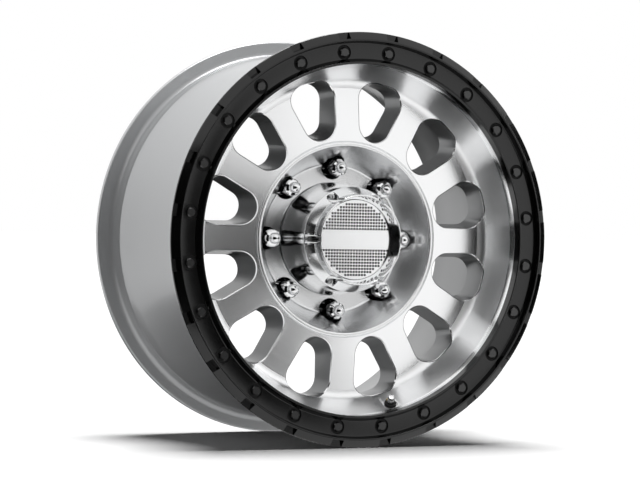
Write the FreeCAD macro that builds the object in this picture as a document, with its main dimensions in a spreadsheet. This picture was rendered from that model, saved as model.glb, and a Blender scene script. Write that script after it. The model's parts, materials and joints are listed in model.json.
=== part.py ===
"""Eight-lug alloy truck wheel with a bolted lip ring, lug nuts, centre cap and tyre valve.

Millimetres. The origin is the centre of the hub mounting face, the wheel turns about Y,
its outer face looks along -Y and +Z is up. Angles turn from +X towards +Z.
"""

import FreeCAD, Part
import math
import os
import Sketcher
from FreeCAD import Placement, Rotation, Vector

AXIAL = Vector(0, 1, 0)
SKETCH_NORMAL = Vector(0, 0, 1)

# Driving dimensions, each written once
SIZES = (
    ("rim_width", 215.9, "between the two bead flanges"),
    ("rear_set", 107.95, "mounting face to rear bead flange"),
    ("bead_seat_radius", 218.3, "at the heel, against the flange"),
    ("bead_seat_length", 20, "heel to toe"),
    ("bead_seat_taper", 5, "degrees"),
    ("bead_fillet", 6.5, "between seat and flange"),
    ("hump_rise", 1.8, "above the toe of the seat"),
    ("hump_length", 8, "along the axis"),
    ("well_depth", 18.5, "heel of the seat to the well floor"),
    ("well_start", 47.5, "front bead flange to well floor"),
    ("well_length", 55, "flat floor of the well"),
    ("well_fillet", 14, "at both ends of the well"),
    ("ramp_drop", 3.9, "heel of the seat to the top of the long ramp"),
    ("ramp_set", 41.4, "rear bead flange to top of ramp"),
    ("barrel_wall", 7.5, "thickness of the barrel"),
    ("flange_height", 17.3, "rear flange and ring above the heel of the seat"),
    ("rear_flange", 10, "thickness"),
    ("rear_lip", 13.6, "rear flange, edge to mouth"),
    ("front_flange", 6, "thickness"),
    ("front_flange_height", 12.7, "flange behind the ring above the heel of the seat"),
    ("edge_round", 2, "flange edges"),
    ("front_wall", 19, "heel of the seat to the machined wall inside the lip"),
    ("dish_land", 11.5, "straight part of that wall"),
    ("dish_taper", 14, "run of the dish wall in to the spokes"),
    ("dish_fillet", 20, "between dish wall and spokes"),
    ("spoke_front_outer", 67.6, "spoke face above the mounting face, at the dish"),
    ("spoke_front_inner", 74.4, "spoke face above the mounting face, at the hub"),
    ("spoke_back", 35.4, "back of the spokes above the mounting face"),
    ("spoke_count", 12, "spokes and windows"),
    ("spoke_half_width", 15.4, "at the spoke face"),
    ("window_inner_set", 4.8, "raised hub ring to the inner round end of a window"),
    ("window_outer_set", 11.8, "machined wall to the outer end of a window"),
    ("window_corner", 19, "outer corners of a window"),
    ("window_side_draft", 4, "spoke side growth, front to back"),
    ("window_inner_draft", 7, "inner end growth, front to back"),
    ("window_outer_draft", 3, "outer end growth, front to back"),
    ("hub_lip_outer", 112, "raised ring round the hub bowl"),
    ("hub_lip_width", 4.2, "raised ring"),
    ("hub_lip_rise", 0.8, "above the spoke face"),
    ("hub_groove", 1.4, "groove round the raised ring"),
    ("bowl_run", 21.2, "raised ring in to the flat floor round the cap"),
    ("bowl_fillet", 4, "between bowl and floor"),
    ("hub_thickness", 32.8, "mounting face to bowl floor"),
    ("hub_pad_radius", 105, "mounting face"),
    ("hub_flare", 13, "growth of the pad down to the back of the spokes"),
    ("hub_bore_radius", 62.6, "fits over the hub"),
    ("hub_bore_length", 22, "mounting face to the cap's ledge"),
    ("relief_radius", 8.5, "lightening pockets between the lug holes"),
    ("relief_inner_set", 4.55, "lug circle in to a lightening pocket's inner centre"),
    ("relief_outer_set", 8.45, "lug circle out to a lightening pocket's outer centre"),
    ("relief_depth", 14, "into the mounting face"),
    ("lug_count", 8, "lug holes"),
    ("pitch_diameter", 165.1, "lug circle"),
    ("lug_hole_radius", 7.6, "clears a 14 mm stud"),
    ("lug_land", 18, "straight length of a lug hole"),
    ("lug_seat_angle", 60, "included angle of the seat, degrees"),
    ("lug_mouth_radius", 13.6, "counterbore over the seat"),
    ("nut_radius", 10, "outside of the nut"),
    ("nut_nose_radius", 8.1, "small end of the nut's cone"),
    ("nut_length", 45.8, "nose to tip"),
    ("nut_drive_length", 31, "fluted length above the cone"),
    ("nut_dome_radius", 6.6, "round tip"),
    ("nut_tip_round", 5.3, "edge of the round tip"),
    ("nut_thread_radius", 6.1, "tapped bore"),
    ("nut_thread_depth", 32, "blind"),
    ("flute_count", 6, "flutes of the spline drive"),
    ("flute_radius", 2, "flutes of the spline drive"),
    ("ring_thickness", 11.8, "seat to ridges"),
    ("ring_web", 4, "under the channel"),
    ("ring_inner_ridge", 2.4, "width of the inner ridge"),
    ("ring_inner_slope", 3.5, "inner ridge down to the channel"),
    ("ring_channel_lean", 2, "outer wall of the channel"),
    ("ring_outer_ridge", 1.8, "flat of the outer ridge"),
    ("ring_outer_slope", 8.4, "outer ridge down to the edge"),
    ("ring_edge_height", 6.5, "outer edge above the seat"),
    ("ring_edge_width", 3, "outer edge along the axis"),
    ("bolt_count", 24, "ring bolts"),
    ("notch_width", 14, "notches in the outer slope, one beside each bolt"),
    ("notch_set", 0.6, "outer ridge to a notch"),
    ("notch_web", 5.4, "ring left under a notch"),
    ("bolt_set", 4.9, "heel of the seat in to the bolt circle"),
    ("bolt_pocket_radius", 8.5, "round pockets in the ring"),
    ("bolt_pocket_web", 2.2, "under a bolt head"),
    ("bolt_head_flats", 10, "across flats"),
    ("bolt_head_height", 4.3, "hexagon head"),
    ("bolt_radius", 3, "shank"),
    ("bolt_length", 16, "under the head"),
    ("bolt_clearance", 0.3, "hole in the ring round a shank"),
    ("thread_clearance", 0.05, "tapped hole round a shank"),
    ("hole_spare", 1.5, "blind holes past a screw's end"),
    ("cap_ledge", 2.6, "ledge in the bore that the cap stands on"),
    ("cap_seat_clearance", 0.2, "round the cap's skirt"),
    ("cap_wall", 1.6, "skirt of the cap"),
    ("cap_waist", 4.6, "skirt in to the drum"),
    ("cap_flare", 30.6, "height of the concave flare"),
    ("cap_flare_radius", 80, "concave flare"),
    ("cap_drum", 21, "height of the drum up to the joint with the cover"),
    ("cap_flange", 6, "ring under the joint, takes the screws"),
    ("cap_flange_width", 15.2, "that ring"),
    ("cap_register", 3, "spigot of the cover in the base"),
    ("cap_register_clearance", 0.15, "round the spigot"),
    ("cap_shoulder_edge", 2, "straight edge of the cover at the joint"),
    ("cap_shoulder", 10, "height of the slanted shoulder"),
    ("cap_shoulder_run", 8.8, "drum in to the nose"),
    ("cap_nose", 15, "height of the nose above the shoulder"),
    ("cap_lip", 2, "width of the front lip"),
    ("cap_recess_lean", 4.2, "front lip in to the floor of the recess"),
    ("cap_recess_depth", 14.5, "front lip to floor"),
    ("cap_floor", 4.5, "thickness behind the recess"),
    ("cap_face_thickness", 1.5, "dimpled disc"),
    ("cap_face_clearance", 0.2, "round the dimpled disc"),
    ("cap_screw_count", 6, "cap screws"),
    ("cap_screw_set", 4.8, "drum in to the screw circle"),
    ("cap_spotface_radius", 6.5, "lens-shaped cuts in the shoulder"),
    ("cap_spotface_web", 3, "under a screw head"),
    ("cap_screw_head_radius", 3.5, "socket head"),
    ("cap_screw_head", 3.5, "height of the head"),
    ("cap_screw_radius", 2, "shank"),
    ("cap_screw_length", 8, "under the head"),
    ("cap_screw_socket", 3, "across flats"),
    ("valve_angle", -75, "place round the wheel, degrees"),
    ("valve_tilt", 42, "axis against the radius, degrees"),
    ("valve_set", 33.5, "front bead flange to the valve on the drop slope"),
    ("valve_hole_radius", 5.75, "through the wall"),
    ("valve_pocket_radius", 10, "counterbore from the tyre side"),
    ("valve_grip", 6, "wall that the rubber grips"),
    ("valve_spot_radius", 8.6, "flat round the hole on the dish side"),
    ("valve_spot_cut", 0.8, "least depth of that flat"),
    ("valve_clearance", 0.1, "rubber in the hole"),
    ("valve_head_radius", 8.4, "rubber head"),
    ("valve_head", 3.6, "rubber head"),
    ("valve_bulge_radius", 7.4, "flared rubber base"),
    ("valve_bulge", 3, "flared rubber base"),
    ("valve_tube_radius", 3.4, "brass tube"),
    ("valve_tube_bore", 2, "brass tube"),
    ("valve_tube_length", 6.6, "past the rubber"),
    ("valve_core_length", 11, "plug in the tube"),
    ("valve_cap_radius", 4.4, "ribbed cap"),
    ("valve_cap_length", 8.6, "ribbed cap"),
    ("valve_cap_floor", 1.4, "closed end of the cap"),
)

# Places worked out from the driving dimensions. Heights along Y are negative towards the face
PLACES = (
    ("flange_radius", "size.bead_seat_radius + size.flange_height"),
    ("front_flange_radius", "size.bead_seat_radius + size.front_flange_height"),
    ("well_radius", "size.bead_seat_radius - size.well_depth"),
    ("ramp_radius", "size.bead_seat_radius - size.ramp_drop"),
    ("rear_mouth_radius", "flange_radius - size.rear_lip"),
    ("dish_radius", "size.bead_seat_radius - size.front_wall"),
    ("dish_foot_radius", "dish_radius - size.dish_taper"),
    ("front_y", "size.rear_set - size.rim_width"),
    ("rear_lip_y", "size.rear_set + size.rear_flange"),
    ("seat_toe", "size.bead_seat_radius - size.bead_seat_length * tan(size.bead_seat_taper)"),
    ("hump_radius", "seat_toe + size.hump_rise"),
    ("front_toe_y", "front_y + size.bead_seat_length"),
    ("front_hump_y", "front_toe_y + size.hump_length"),
    ("rear_toe_y", "size.rear_set - size.bead_seat_length"),
    ("rear_hump_y", "rear_toe_y - size.hump_length"),
    ("well_front_y", "front_y + size.well_start"),
    ("well_rear_y", "well_front_y + size.well_length"),
    ("ramp_y", "size.rear_set - size.ramp_set"),
    ("ring_seat_y", "front_y - size.front_flange"),
    ("dish_land_y", "ring_seat_y + size.dish_land"),
    ("ridge_y", "ring_seat_y - size.ring_thickness"),
    ("channel_y", "ring_seat_y - size.ring_web"),
    ("channel_inner", "dish_radius + size.ring_inner_ridge + size.ring_inner_slope"),
    ("ridge_outer", "flange_radius - size.ring_outer_slope"),
    ("ridge_inner", "ridge_outer - size.ring_outer_ridge"),
    ("channel_outer", "ridge_inner - size.ring_channel_lean"),
    ("ring_edge_y", "ring_seat_y - size.ring_edge_height"),
    ("bolt_circle_radius", "size.bead_seat_radius - size.bolt_set"),
    ("bolt_seat_y", "ring_seat_y - size.bolt_pocket_web"),
    ("bolt_end_y", "bolt_seat_y + size.bolt_length"),
    ("lip_y", "-size.spoke_front_inner - size.hub_lip_rise"),
    ("lip_inner", "size.hub_lip_outer - size.hub_lip_width"),
    ("bowl_floor_radius", "lip_inner - size.bowl_run"),
    ("hub_back_radius", "size.hub_pad_radius + size.hub_flare"),
    ("lug_circle", "size.pitch_diameter / 2"),
    ("relief_inner", "lug_circle - size.relief_inner_set"),
    ("relief_outer", "lug_circle + size.relief_outer_set"),
    ("window_inner", "size.hub_lip_outer + size.window_inner_set"),
    ("window_outer", "dish_radius - size.window_outer_set"),
    ("window_pitch", "360 / size.spoke_count"),
    ("window_back_half", "size.spoke_half_width + size.window_side_draft"),
    ("window_back_outer", "window_outer - size.window_outer_draft"),
    ("window_sine", "sin(window_pitch / 2)"),
    ("front_corner_room", "(window_outer * window_sine - size.spoke_half_width) / (1 + window_sine)"),
    ("back_corner_room", "(window_back_outer * window_sine - window_back_half) / (1 + window_sine)"),
    ("front_corner", "min(size.window_corner; front_corner_room - size.edge_round)"),
    ("back_corner", "min(size.window_corner; back_corner_room - size.edge_round)"),
    ("lug_seat_run", "1 / tan(size.lug_seat_angle / 2)"),
    ("lug_mouth_y", "-size.lug_land - (size.lug_mouth_radius - size.lug_hole_radius) * lug_seat_run"),
    ("nut_nose_y", "-size.lug_land - (size.nut_nose_radius - size.lug_hole_radius) * lug_seat_run"),
    ("nut_cone_y", "-size.lug_land - (size.nut_radius - size.lug_hole_radius) * lug_seat_run"),
    ("nut_drive_y", "nut_cone_y - size.nut_drive_length"),
    ("nut_tip_y", "nut_nose_y - size.nut_length"),
    ("nut_neck_y", "nut_drive_y - (size.nut_radius - size.nut_dome_radius)"),
    ("cap_seat_radius", "size.hub_bore_radius + size.cap_ledge"),
    ("cap_skirt_radius", "cap_seat_radius - size.cap_seat_clearance"),
    ("cap_drum_radius", "cap_skirt_radius - size.cap_waist"),
    ("cap_bore_radius", "cap_drum_radius - size.cap_flange_width"),
    ("cap_nose_radius", "cap_drum_radius - size.cap_shoulder_run"),
    ("cap_recess_radius", "cap_nose_radius - size.cap_lip - size.cap_recess_lean"),
    ("cap_screw_circle", "cap_drum_radius - size.cap_screw_set"),
    ("cap_skirt_y", "-size.hub_thickness - size.edge_round"),
    ("cap_drum_y", "cap_skirt_y - size.cap_flare"),
    ("cap_split_y", "cap_drum_y - size.cap_drum"),
    ("cap_shoulder_y", "cap_split_y - size.cap_shoulder_edge - size.cap_shoulder"),
    ("cap_top_y", "cap_shoulder_y - size.cap_nose"),
    ("cap_recess_y", "cap_top_y + size.cap_recess_depth"),
    ("cap_under_y", "cap_recess_y + size.cap_face_thickness + size.cap_floor"),
    ("cap_screw_seat_y", "cap_split_y - size.cap_spotface_web"),
    ("cap_spigot_radius", "cap_bore_radius - size.cap_register_clearance"),
    ("cap_cover_bore", "cap_spigot_radius - size.cap_wall * 2"),
    ("drop_slope", "(hump_radius - well_radius) / (well_front_y - front_hump_y)"),
    ("valve_y", "front_y + size.valve_set"),
    ("valve_r", "hump_radius - (valve_y - front_hump_y) * drop_slope"),
    ("dish_slope", "(dish_foot_radius - dish_radius) / (-size.spoke_front_outer - dish_land_y)"),
    ("valve_rise", "valve_r - dish_radius - dish_slope * (valve_y - dish_land_y)"),
    ("valve_wall", "valve_rise / (cos(size.valve_tilt) - dish_slope * sin(size.valve_tilt))"),
    ("valve_lean", "size.valve_tilt - atan(-dish_slope) / 1 deg"),
    ("valve_mouth", "valve_wall - size.valve_spot_cut - size.valve_spot_radius * tan(valve_lean)"),
    ("valve_seat", "valve_mouth - size.valve_grip"),
    ("valve_stem_end", "valve_mouth + size.valve_bulge"),
    ("valve_tube_end", "valve_stem_end + size.valve_tube_length"),
    ("valve_cap_end", "valve_stem_end + size.valve_cap_length"),
)

doc = FreeCAD.newDocument("truck_wheel")
sheet = doc.addObject("Spreadsheet::Sheet", "size")
for row, (alias, number, note) in enumerate(SIZES, start=1):
    sheet.set(f"A{row}", alias)
    sheet.set(f"B{row}", str(number))
    sheet.set(f"C{row}", note)
    sheet.setAlias(f"B{row}", alias)
doc.recompute()

places = doc.addObject("Spreadsheet::Sheet", "place")
for row, (alias, formula) in enumerate(PLACES, start=1):
    places.set(f"A{row}", alias)
    places.set(f"B{row}", "=" + formula)
    places.setAlias(f"B{row}", alias)
    doc.recompute()


def value(expression):
    """The number that an expression on the sheets gives now."""
    return float(places.evalExpression(expression))


def new_body(label):
    body = doc.addObject("PartDesign::Body", label)
    body.Label = label
    return body


def origin_part(body, role):
    """One of the body's own origin planes or axes."""
    return next(part for part in body.Origin.OriginFeatures if part.Role == role)


def side_sketch(body, name, angle="0", shift="0"):
    """Sketch in a plane through the wheel axis: x is the radius and y lies along the axis."""
    sketch = body.newObject("Sketcher::SketchObject", name)
    sketch.AttachmentSupport = (origin_part(body, "XY_Plane"), [""])
    sketch.MapMode = "FlatFace"
    sketch.AttachmentOffset = Placement(Vector(), Rotation(AXIAL, -value(angle)))
    sketch.setExpression("AttachmentOffset.Rotation.Angle", f"-({angle}) * 1 deg")
    sketch.setExpression("AttachmentOffset.Base.x", shift)
    return sketch


def face_sketch(body, name, height, angle="0"):
    """Sketch across the wheel axis at a height along Y, with its x axis turned to an angle."""
    sketch = body.newObject("Sketcher::SketchObject", name)
    sketch.AttachmentSupport = (origin_part(body, "XZ_Plane"), [""])
    sketch.MapMode = "FlatFace"
    sketch.AttachmentOffset = Placement(Vector(), Rotation(SKETCH_NORMAL, value(angle)))
    sketch.setExpression("AttachmentOffset.Rotation.Angle", f"({angle}) * 1 deg")
    sketch.setExpression("AttachmentOffset.Base.z", f"-({height})")
    return sketch


def constrain(sketch, constraints):
    """Adds (constraint, expression or None) pairs and binds those that have an expression."""
    indexes = sketch.addConstraint([constraint for constraint, expression in constraints])
    for index, (constraint, expression) in zip(indexes, constraints):
        if expression is not None:
            sketch.setExpression(f"Constraints[{index}]", expression)


def place_point(geometry, end, x, y):
    """Constraints that put one point of a sketch at two expressions."""
    pairs = []
    for kind, expression, axis in (("DistanceX", x, -2), ("DistanceY", y, -1)):
        if expression == "0":
            pairs.append((Sketcher.Constraint("PointOnObject", geometry, end, axis), None))
        else:
            pairs.append((Sketcher.Constraint(kind, geometry, end, value(expression)), expression))
    return pairs


def outline(sketch, corners, axis=None):
    """Closed outline through (x, y) corners; a corner (x, y, radius) is rounded by a tangent arc."""
    count = len(corners)
    points = [Vector(value(corner[0]), value(corner[1]), 0) for corner in corners]
    arrive, leave, arcs = list(points), list(points), {}
    for i, corner in enumerate(corners):
        if len(corner) == 2:
            continue
        back = (points[i - 1] - points[i]).normalize()
        ahead = (points[(i + 1) % count] - points[i]).normalize()
        half = back.getAngle(ahead) / 2
        radius = value(corner[2])
        arrive[i] = points[i] + back * (radius / math.tan(half))
        leave[i] = points[i] + ahead * (radius / math.tan(half))
        middle = (back + ahead).normalize()
        crown = points[i] + middle * (radius / math.sin(half) - radius)
        arcs[i] = Part.Arc(arrive[i], crown, leave[i])
    if axis:
        ends = [Vector(value(x), value(y), 0) for x, y in axis]
    lines = [Part.LineSegment(leave[i], arrive[(i + 1) % count]) for i in range(count)]
    sketch.addGeometry(lines, False)
    pairs = []
    for i, corner in enumerate(corners):
        before = (i - 1) % count
        if i not in arcs:
            pairs.append((Sketcher.Constraint("Coincident", before, 2, i, 1), None))
            pairs += place_point(i, 1, corner[0], corner[1])
            continue
        arc = sketch.addGeometry(arcs[i], False)
        first = 1 if sketch.getPoint(arc, 1).isEqual(arrive[i], 1e-6) else 2
        mark = sketch.addGeometry(Part.Point(points[i]), True)
        pairs.append((Sketcher.Constraint("Tangent", before, 2, arc, first), None))
        pairs.append((Sketcher.Constraint("Tangent", arc, 3 - first, i, 1), None))
        pairs.append((Sketcher.Constraint("Radius", arc, value(corner[2])), corner[2]))
        pairs += place_point(mark, 1, corner[0], corner[1])
        pairs.append((Sketcher.Constraint("PointOnObject", mark, 1, before), None))
        pairs.append((Sketcher.Constraint("PointOnObject", mark, 1, i), None))
    if axis:
        line = sketch.addGeometry(Part.LineSegment(*ends), True)
        for end, (x, y) in enumerate(axis, start=1):
            pairs += place_point(line, end, x, y)
    constrain(sketch, pairs)
    return sketch


def circle(sketch, distance, radius):
    """Circle on the sketch's x axis."""
    ring = Part.Circle(Vector(value(distance), 0, 0), SKETCH_NORMAL, value(radius))
    geometry = sketch.addGeometry(ring, False)
    pairs = place_point(geometry, 3, distance, "0")
    pairs.append((Sketcher.Constraint("Radius", geometry, value(radius)), radius))
    constrain(sketch, pairs)
    return sketch


def hexagon(sketch, distance, flats):
    """Regular hexagon on the sketch's x axis, by its width across flats."""
    corner = f"({flats}) / sqrt(3)"
    corners = []
    for turn in range(0, 360, 60):
        corners.append((f"{distance} + {corner} * cos({turn})", f"{corner} * sin({turn})"))
    corners[0] = (corners[0][0], "0")
    corners[3] = (corners[3][0], "0")
    return outline(sketch, corners)


def spin(body, name, sketch, axis="V_Axis", kind="PartDesign::Revolution"):
    feature = body.newObject(kind, name)
    feature.Profile = sketch
    feature.ReferenceAxis = (sketch, [axis])
    feature.Angle = 360
    return feature


def sink(body, name, sketch, depth, backwards=False):
    """Pocket towards +Y, or towards -Y when backwards."""
    feature = body.newObject("PartDesign::Pocket", name)
    feature.Profile = sketch
    feature.setExpression("Length", depth)
    feature.Reversed = backwards
    return feature


def raise_pad(body, name, sketch, height, backwards=False):
    """Pad towards -Y, or towards +Y when backwards."""
    feature = body.newObject("PartDesign::Pad", name)
    feature.Profile = sketch
    feature.setExpression("Length", height)
    feature.Reversed = backwards
    return feature


def round_pattern(body, name, originals, count):
    """Copies features all round the wheel axis."""
    feature = body.newObject("PartDesign::PolarPattern", name)
    feature.Originals = originals
    feature.Axis = (origin_part(body, "Y_Axis"), [""])
    feature.Angle = 360
    feature.setExpression("Occurrences", count)
    body.Tip = feature
    return feature


def ring_of(label, body, count):
    """One node of separate solids: a fastener copied all round the wheel axis."""
    doc.recompute()
    total = round(value(count))
    solids = []
    for i in range(total):
        solid = body.Shape.copy()
        solid.rotate(Vector(), AXIAL, -360 * i / total)
        solids.append(solid)
    node = doc.addObject("Part::Feature", label)
    node.Label = label
    node.Shape = Part.makeCompound(solids)
    return node


def window_outline(sketch, half_width, inner, outer, corner):
    """Window between two spokes: parallel spoke sides, a full round inner end, rounded outer corners."""
    half = "(180 / size.spoke_count)"
    turn = math.radians(value(half))
    offset, near, far, bend = value(half_width), value(inner), value(outer), value(corner)
    middle = (near - offset) / (1 - math.sin(turn))
    along = Vector(math.cos(turn), math.sin(turn), 0)
    across = Vector(math.sin(turn), -math.cos(turn), 0)
    reach = math.sqrt((far - bend) ** 2 - (offset + bend) ** 2)
    side_in = along * (middle * math.cos(turn)) + across * offset
    side_out = along * reach + across * offset
    bend_middle = along * reach + across * (offset + bend)
    bend_end = bend_middle * (far / (far - bend))
    bend_crown = bend_middle + ((side_out + bend_end) * 0.5 - bend_middle).normalize() * bend

    def mirrored(point):
        return Vector(point.x, -point.y, 0)

    top, bottom, inner_arc, outer_arc, top_bend, bottom_bend = sketch.addGeometry([
        Part.LineSegment(side_in, side_out),
        Part.LineSegment(mirrored(side_in), mirrored(side_out)),
        Part.Arc(side_in, Vector(near, 0, 0), mirrored(side_in)),
        Part.Arc(mirrored(bend_end), Vector(far, 0, 0), bend_end),
        Part.Arc(bend_end, bend_crown, side_out),
        Part.Arc(mirrored(side_out), mirrored(bend_crown), mirrored(bend_end)),
    ], False)
    constrain(sketch, [
        (Sketcher.Constraint("Tangent", top, 1, inner_arc, 1), None),
        (Sketcher.Constraint("Tangent", bottom, 1, inner_arc, 2), None),
        (Sketcher.Constraint("Tangent", top, 2, top_bend, 2), None),
        (Sketcher.Constraint("Tangent", bottom, 2, bottom_bend, 1), None),
        (Sketcher.Constraint("Tangent", outer_arc, 2, top_bend, 1), None),
        (Sketcher.Constraint("Tangent", outer_arc, 1, bottom_bend, 2), None),
        (Sketcher.Constraint("Coincident", outer_arc, 3, -1, 1), None),
        (Sketcher.Constraint("PointOnObject", inner_arc, 3, -1), None),
        (Sketcher.Constraint("DistanceX", inner_arc, 3, middle),
         f"({inner} - ({half_width})) / (1 - sin{half})"),
        (Sketcher.Constraint("Radius", outer_arc, far), outer),
        (Sketcher.Constraint("Radius", top_bend, bend), corner),
        (Sketcher.Constraint("Radius", bottom_bend, bend), corner),
        (Sketcher.Constraint("Distance", -1, 1, top, offset), half_width),
        (Sketcher.Constraint("Distance", -1, 1, bottom, offset), half_width),
        (Sketcher.Constraint("Angle", top, turn), f"{half} * 1 deg"),
    ])
    return sketch


def wheel_section(sketch):
    """Half section of the casting, from the front flange over the barrel and back through the hub."""
    edge = "size.edge_round"
    return outline(sketch, [
        ("place.dish_radius", "place.ring_seat_y"),
        ("place.front_flange_radius", "place.ring_seat_y", edge),
        ("place.front_flange_radius", "place.front_y", edge),
        ("size.bead_seat_radius", "place.front_y", "size.bead_fillet"),
        ("place.seat_toe", "place.front_toe_y"),
        ("place.hump_radius", "place.front_toe_y + size.hump_length / 2"),
        ("place.hump_radius", "place.front_hump_y", "size.hump_length / 2"),
        ("place.well_radius", "place.well_front_y", "size.well_fillet"),
        ("place.well_radius", "place.well_rear_y"),
        ("place.ramp_radius", "place.ramp_y"),
        ("place.hump_radius", "place.rear_hump_y"),
        ("place.hump_radius", "place.rear_toe_y - size.hump_length / 2"),
        ("place.seat_toe", "place.rear_toe_y"),
        ("size.bead_seat_radius", "size.rear_set", "size.bead_fillet"),
        ("place.flange_radius", "size.rear_set", edge),
        ("place.flange_radius", "place.rear_lip_y", "2 * size.edge_round"),
        ("place.rear_mouth_radius", "place.rear_lip_y", edge),
        ("place.seat_toe - size.barrel_wall", "size.rear_set - size.barrel_wall"),
        ("place.ramp_radius - size.barrel_wall", "place.ramp_y"),
        ("place.well_radius - size.barrel_wall", "place.well_rear_y"),
        ("place.well_radius - size.barrel_wall", "-size.spoke_back", "size.well_fillet"),
        ("place.hub_back_radius", "-size.spoke_back", "size.well_fillet"),
        ("size.hub_pad_radius", "0"),
        ("size.hub_bore_radius", "0"),
        ("size.hub_bore_radius", "-size.hub_bore_length"),
        ("place.cap_seat_radius", "-size.hub_bore_length"),
        ("place.cap_seat_radius", "-size.hub_thickness"),
        ("place.bowl_floor_radius", "-size.hub_thickness", "size.bowl_fillet"),
        ("place.lip_inner", "place.lip_y", "size.hub_lip_width / 3"),
        ("size.hub_lip_outer", "place.lip_y", "size.hub_lip_width / 3"),
        ("size.hub_lip_outer", "-size.spoke_front_inner + size.hub_groove"),
        ("size.hub_lip_outer + size.hub_groove", "-size.spoke_front_inner"),
        ("place.dish_foot_radius", "-size.spoke_front_outer", "size.dish_fillet"),
        ("place.dish_radius", "place.dish_land_y"),
    ])


def make_wheel():
    """One casting: revolved section, then windows, lug holes, tapped ring holes and valve hole."""
    body = new_body("wheel")
    spin(body, "casting", wheel_section(side_sketch(body, "wheel_section")))

    pitch = "place.window_pitch / 2"
    front = window_outline(
        face_sketch(body, "window_front", "place.lip_y", pitch), "size.spoke_half_width",
        "place.window_inner", "place.window_outer", "place.front_corner")
    back = window_outline(
        face_sketch(body, "window_back", "-size.spoke_back + size.edge_round", pitch),
        "place.window_back_half", "place.window_inner + size.window_inner_draft",
        "place.window_back_outer", "place.back_corner")
    window = body.newObject("PartDesign::SubtractiveLoft", "window")
    window.Profile = front
    window.Sections = [back]
    window.Ruled = True
    round_pattern(body, "windows", [window], "size.spoke_count")

    lug_hole = outline(side_sketch(body, "lug_section", "0", "place.lug_circle"), [
        ("0", "size.edge_round"),
        ("size.lug_hole_radius", "size.edge_round"),
        ("size.lug_hole_radius", "-size.lug_land"),
        ("size.lug_mouth_radius", "place.lug_mouth_y"),
        ("size.lug_mouth_radius", "place.lip_y"),
        ("0", "place.lip_y"),
    ])
    lug = spin(body, "lug_hole", lug_hole, kind="PartDesign::Groove")
    round_pattern(body, "lug_holes", [lug], "size.lug_count")

    relief_sketch = face_sketch(body, "relief_outline", "0", "180 / size.lug_count")
    relief = sink(body, "relief", slot(relief_sketch), "size.relief_depth", backwards=True)
    round_pattern(body, "reliefs", [relief], "size.lug_count")

    tapped = circle(
        face_sketch(body, "ring_hole_outline", "place.ring_seat_y", "180 / size.bolt_count"),
        "place.bolt_circle_radius", "size.bolt_radius + size.thread_clearance")
    hole = sink(body, "ring_hole", tapped,
                "size.bolt_length - size.bolt_pocket_web + size.hole_spare")
    round_pattern(body, "ring_holes", [hole], "size.bolt_count")

    valve_hole = valve_outline(body, "valve_hole_section", [
        ("-size.valve_pocket_radius", "0"),
        ("-size.valve_pocket_radius", "size.valve_pocket_radius"),
        ("place.valve_seat", "size.valve_pocket_radius"),
        ("place.valve_seat", "size.valve_hole_radius"),
        ("place.valve_mouth", "size.valve_hole_radius"),
        ("place.valve_mouth", "size.valve_spot_radius"),
        ("place.valve_wall + size.valve_grip", "size.valve_spot_radius"),
        ("place.valve_wall + size.valve_grip", "0"),
    ])
    spin(body, "valve_hole", valve_hole, "Axis0", "PartDesign::Groove")
    return body


def slot(sketch):
    """Round-ended slot along the sketch's x axis, between the two relief centres."""
    near, far, radius = value("place.relief_inner"), value("place.relief_outer"), value("size.relief_radius")
    top, bottom, inner_end, outer_end = sketch.addGeometry([
        Part.LineSegment(Vector(near, radius, 0), Vector(far, radius, 0)),
        Part.LineSegment(Vector(near, -radius, 0), Vector(far, -radius, 0)),
        Part.Arc(Vector(near, radius, 0), Vector(near - radius, 0, 0), Vector(near, -radius, 0)),
        Part.Arc(Vector(far, -radius, 0), Vector(far + radius, 0, 0), Vector(far, radius, 0)),
    ], False)
    pairs = [
        (Sketcher.Constraint("Tangent", top, 1, inner_end, 1), None),
        (Sketcher.Constraint("Tangent", bottom, 1, inner_end, 2), None),
        (Sketcher.Constraint("Tangent", bottom, 2, outer_end, 1), None),
        (Sketcher.Constraint("Tangent", top, 2, outer_end, 2), None),
        (Sketcher.Constraint("Radius", inner_end, radius), "size.relief_radius"),
    ]
    pairs += place_point(inner_end, 3, "place.relief_inner", "0")
    pairs += place_point(outer_end, 3, "place.relief_outer", "0")
    constrain(sketch, pairs)
    return sketch


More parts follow.
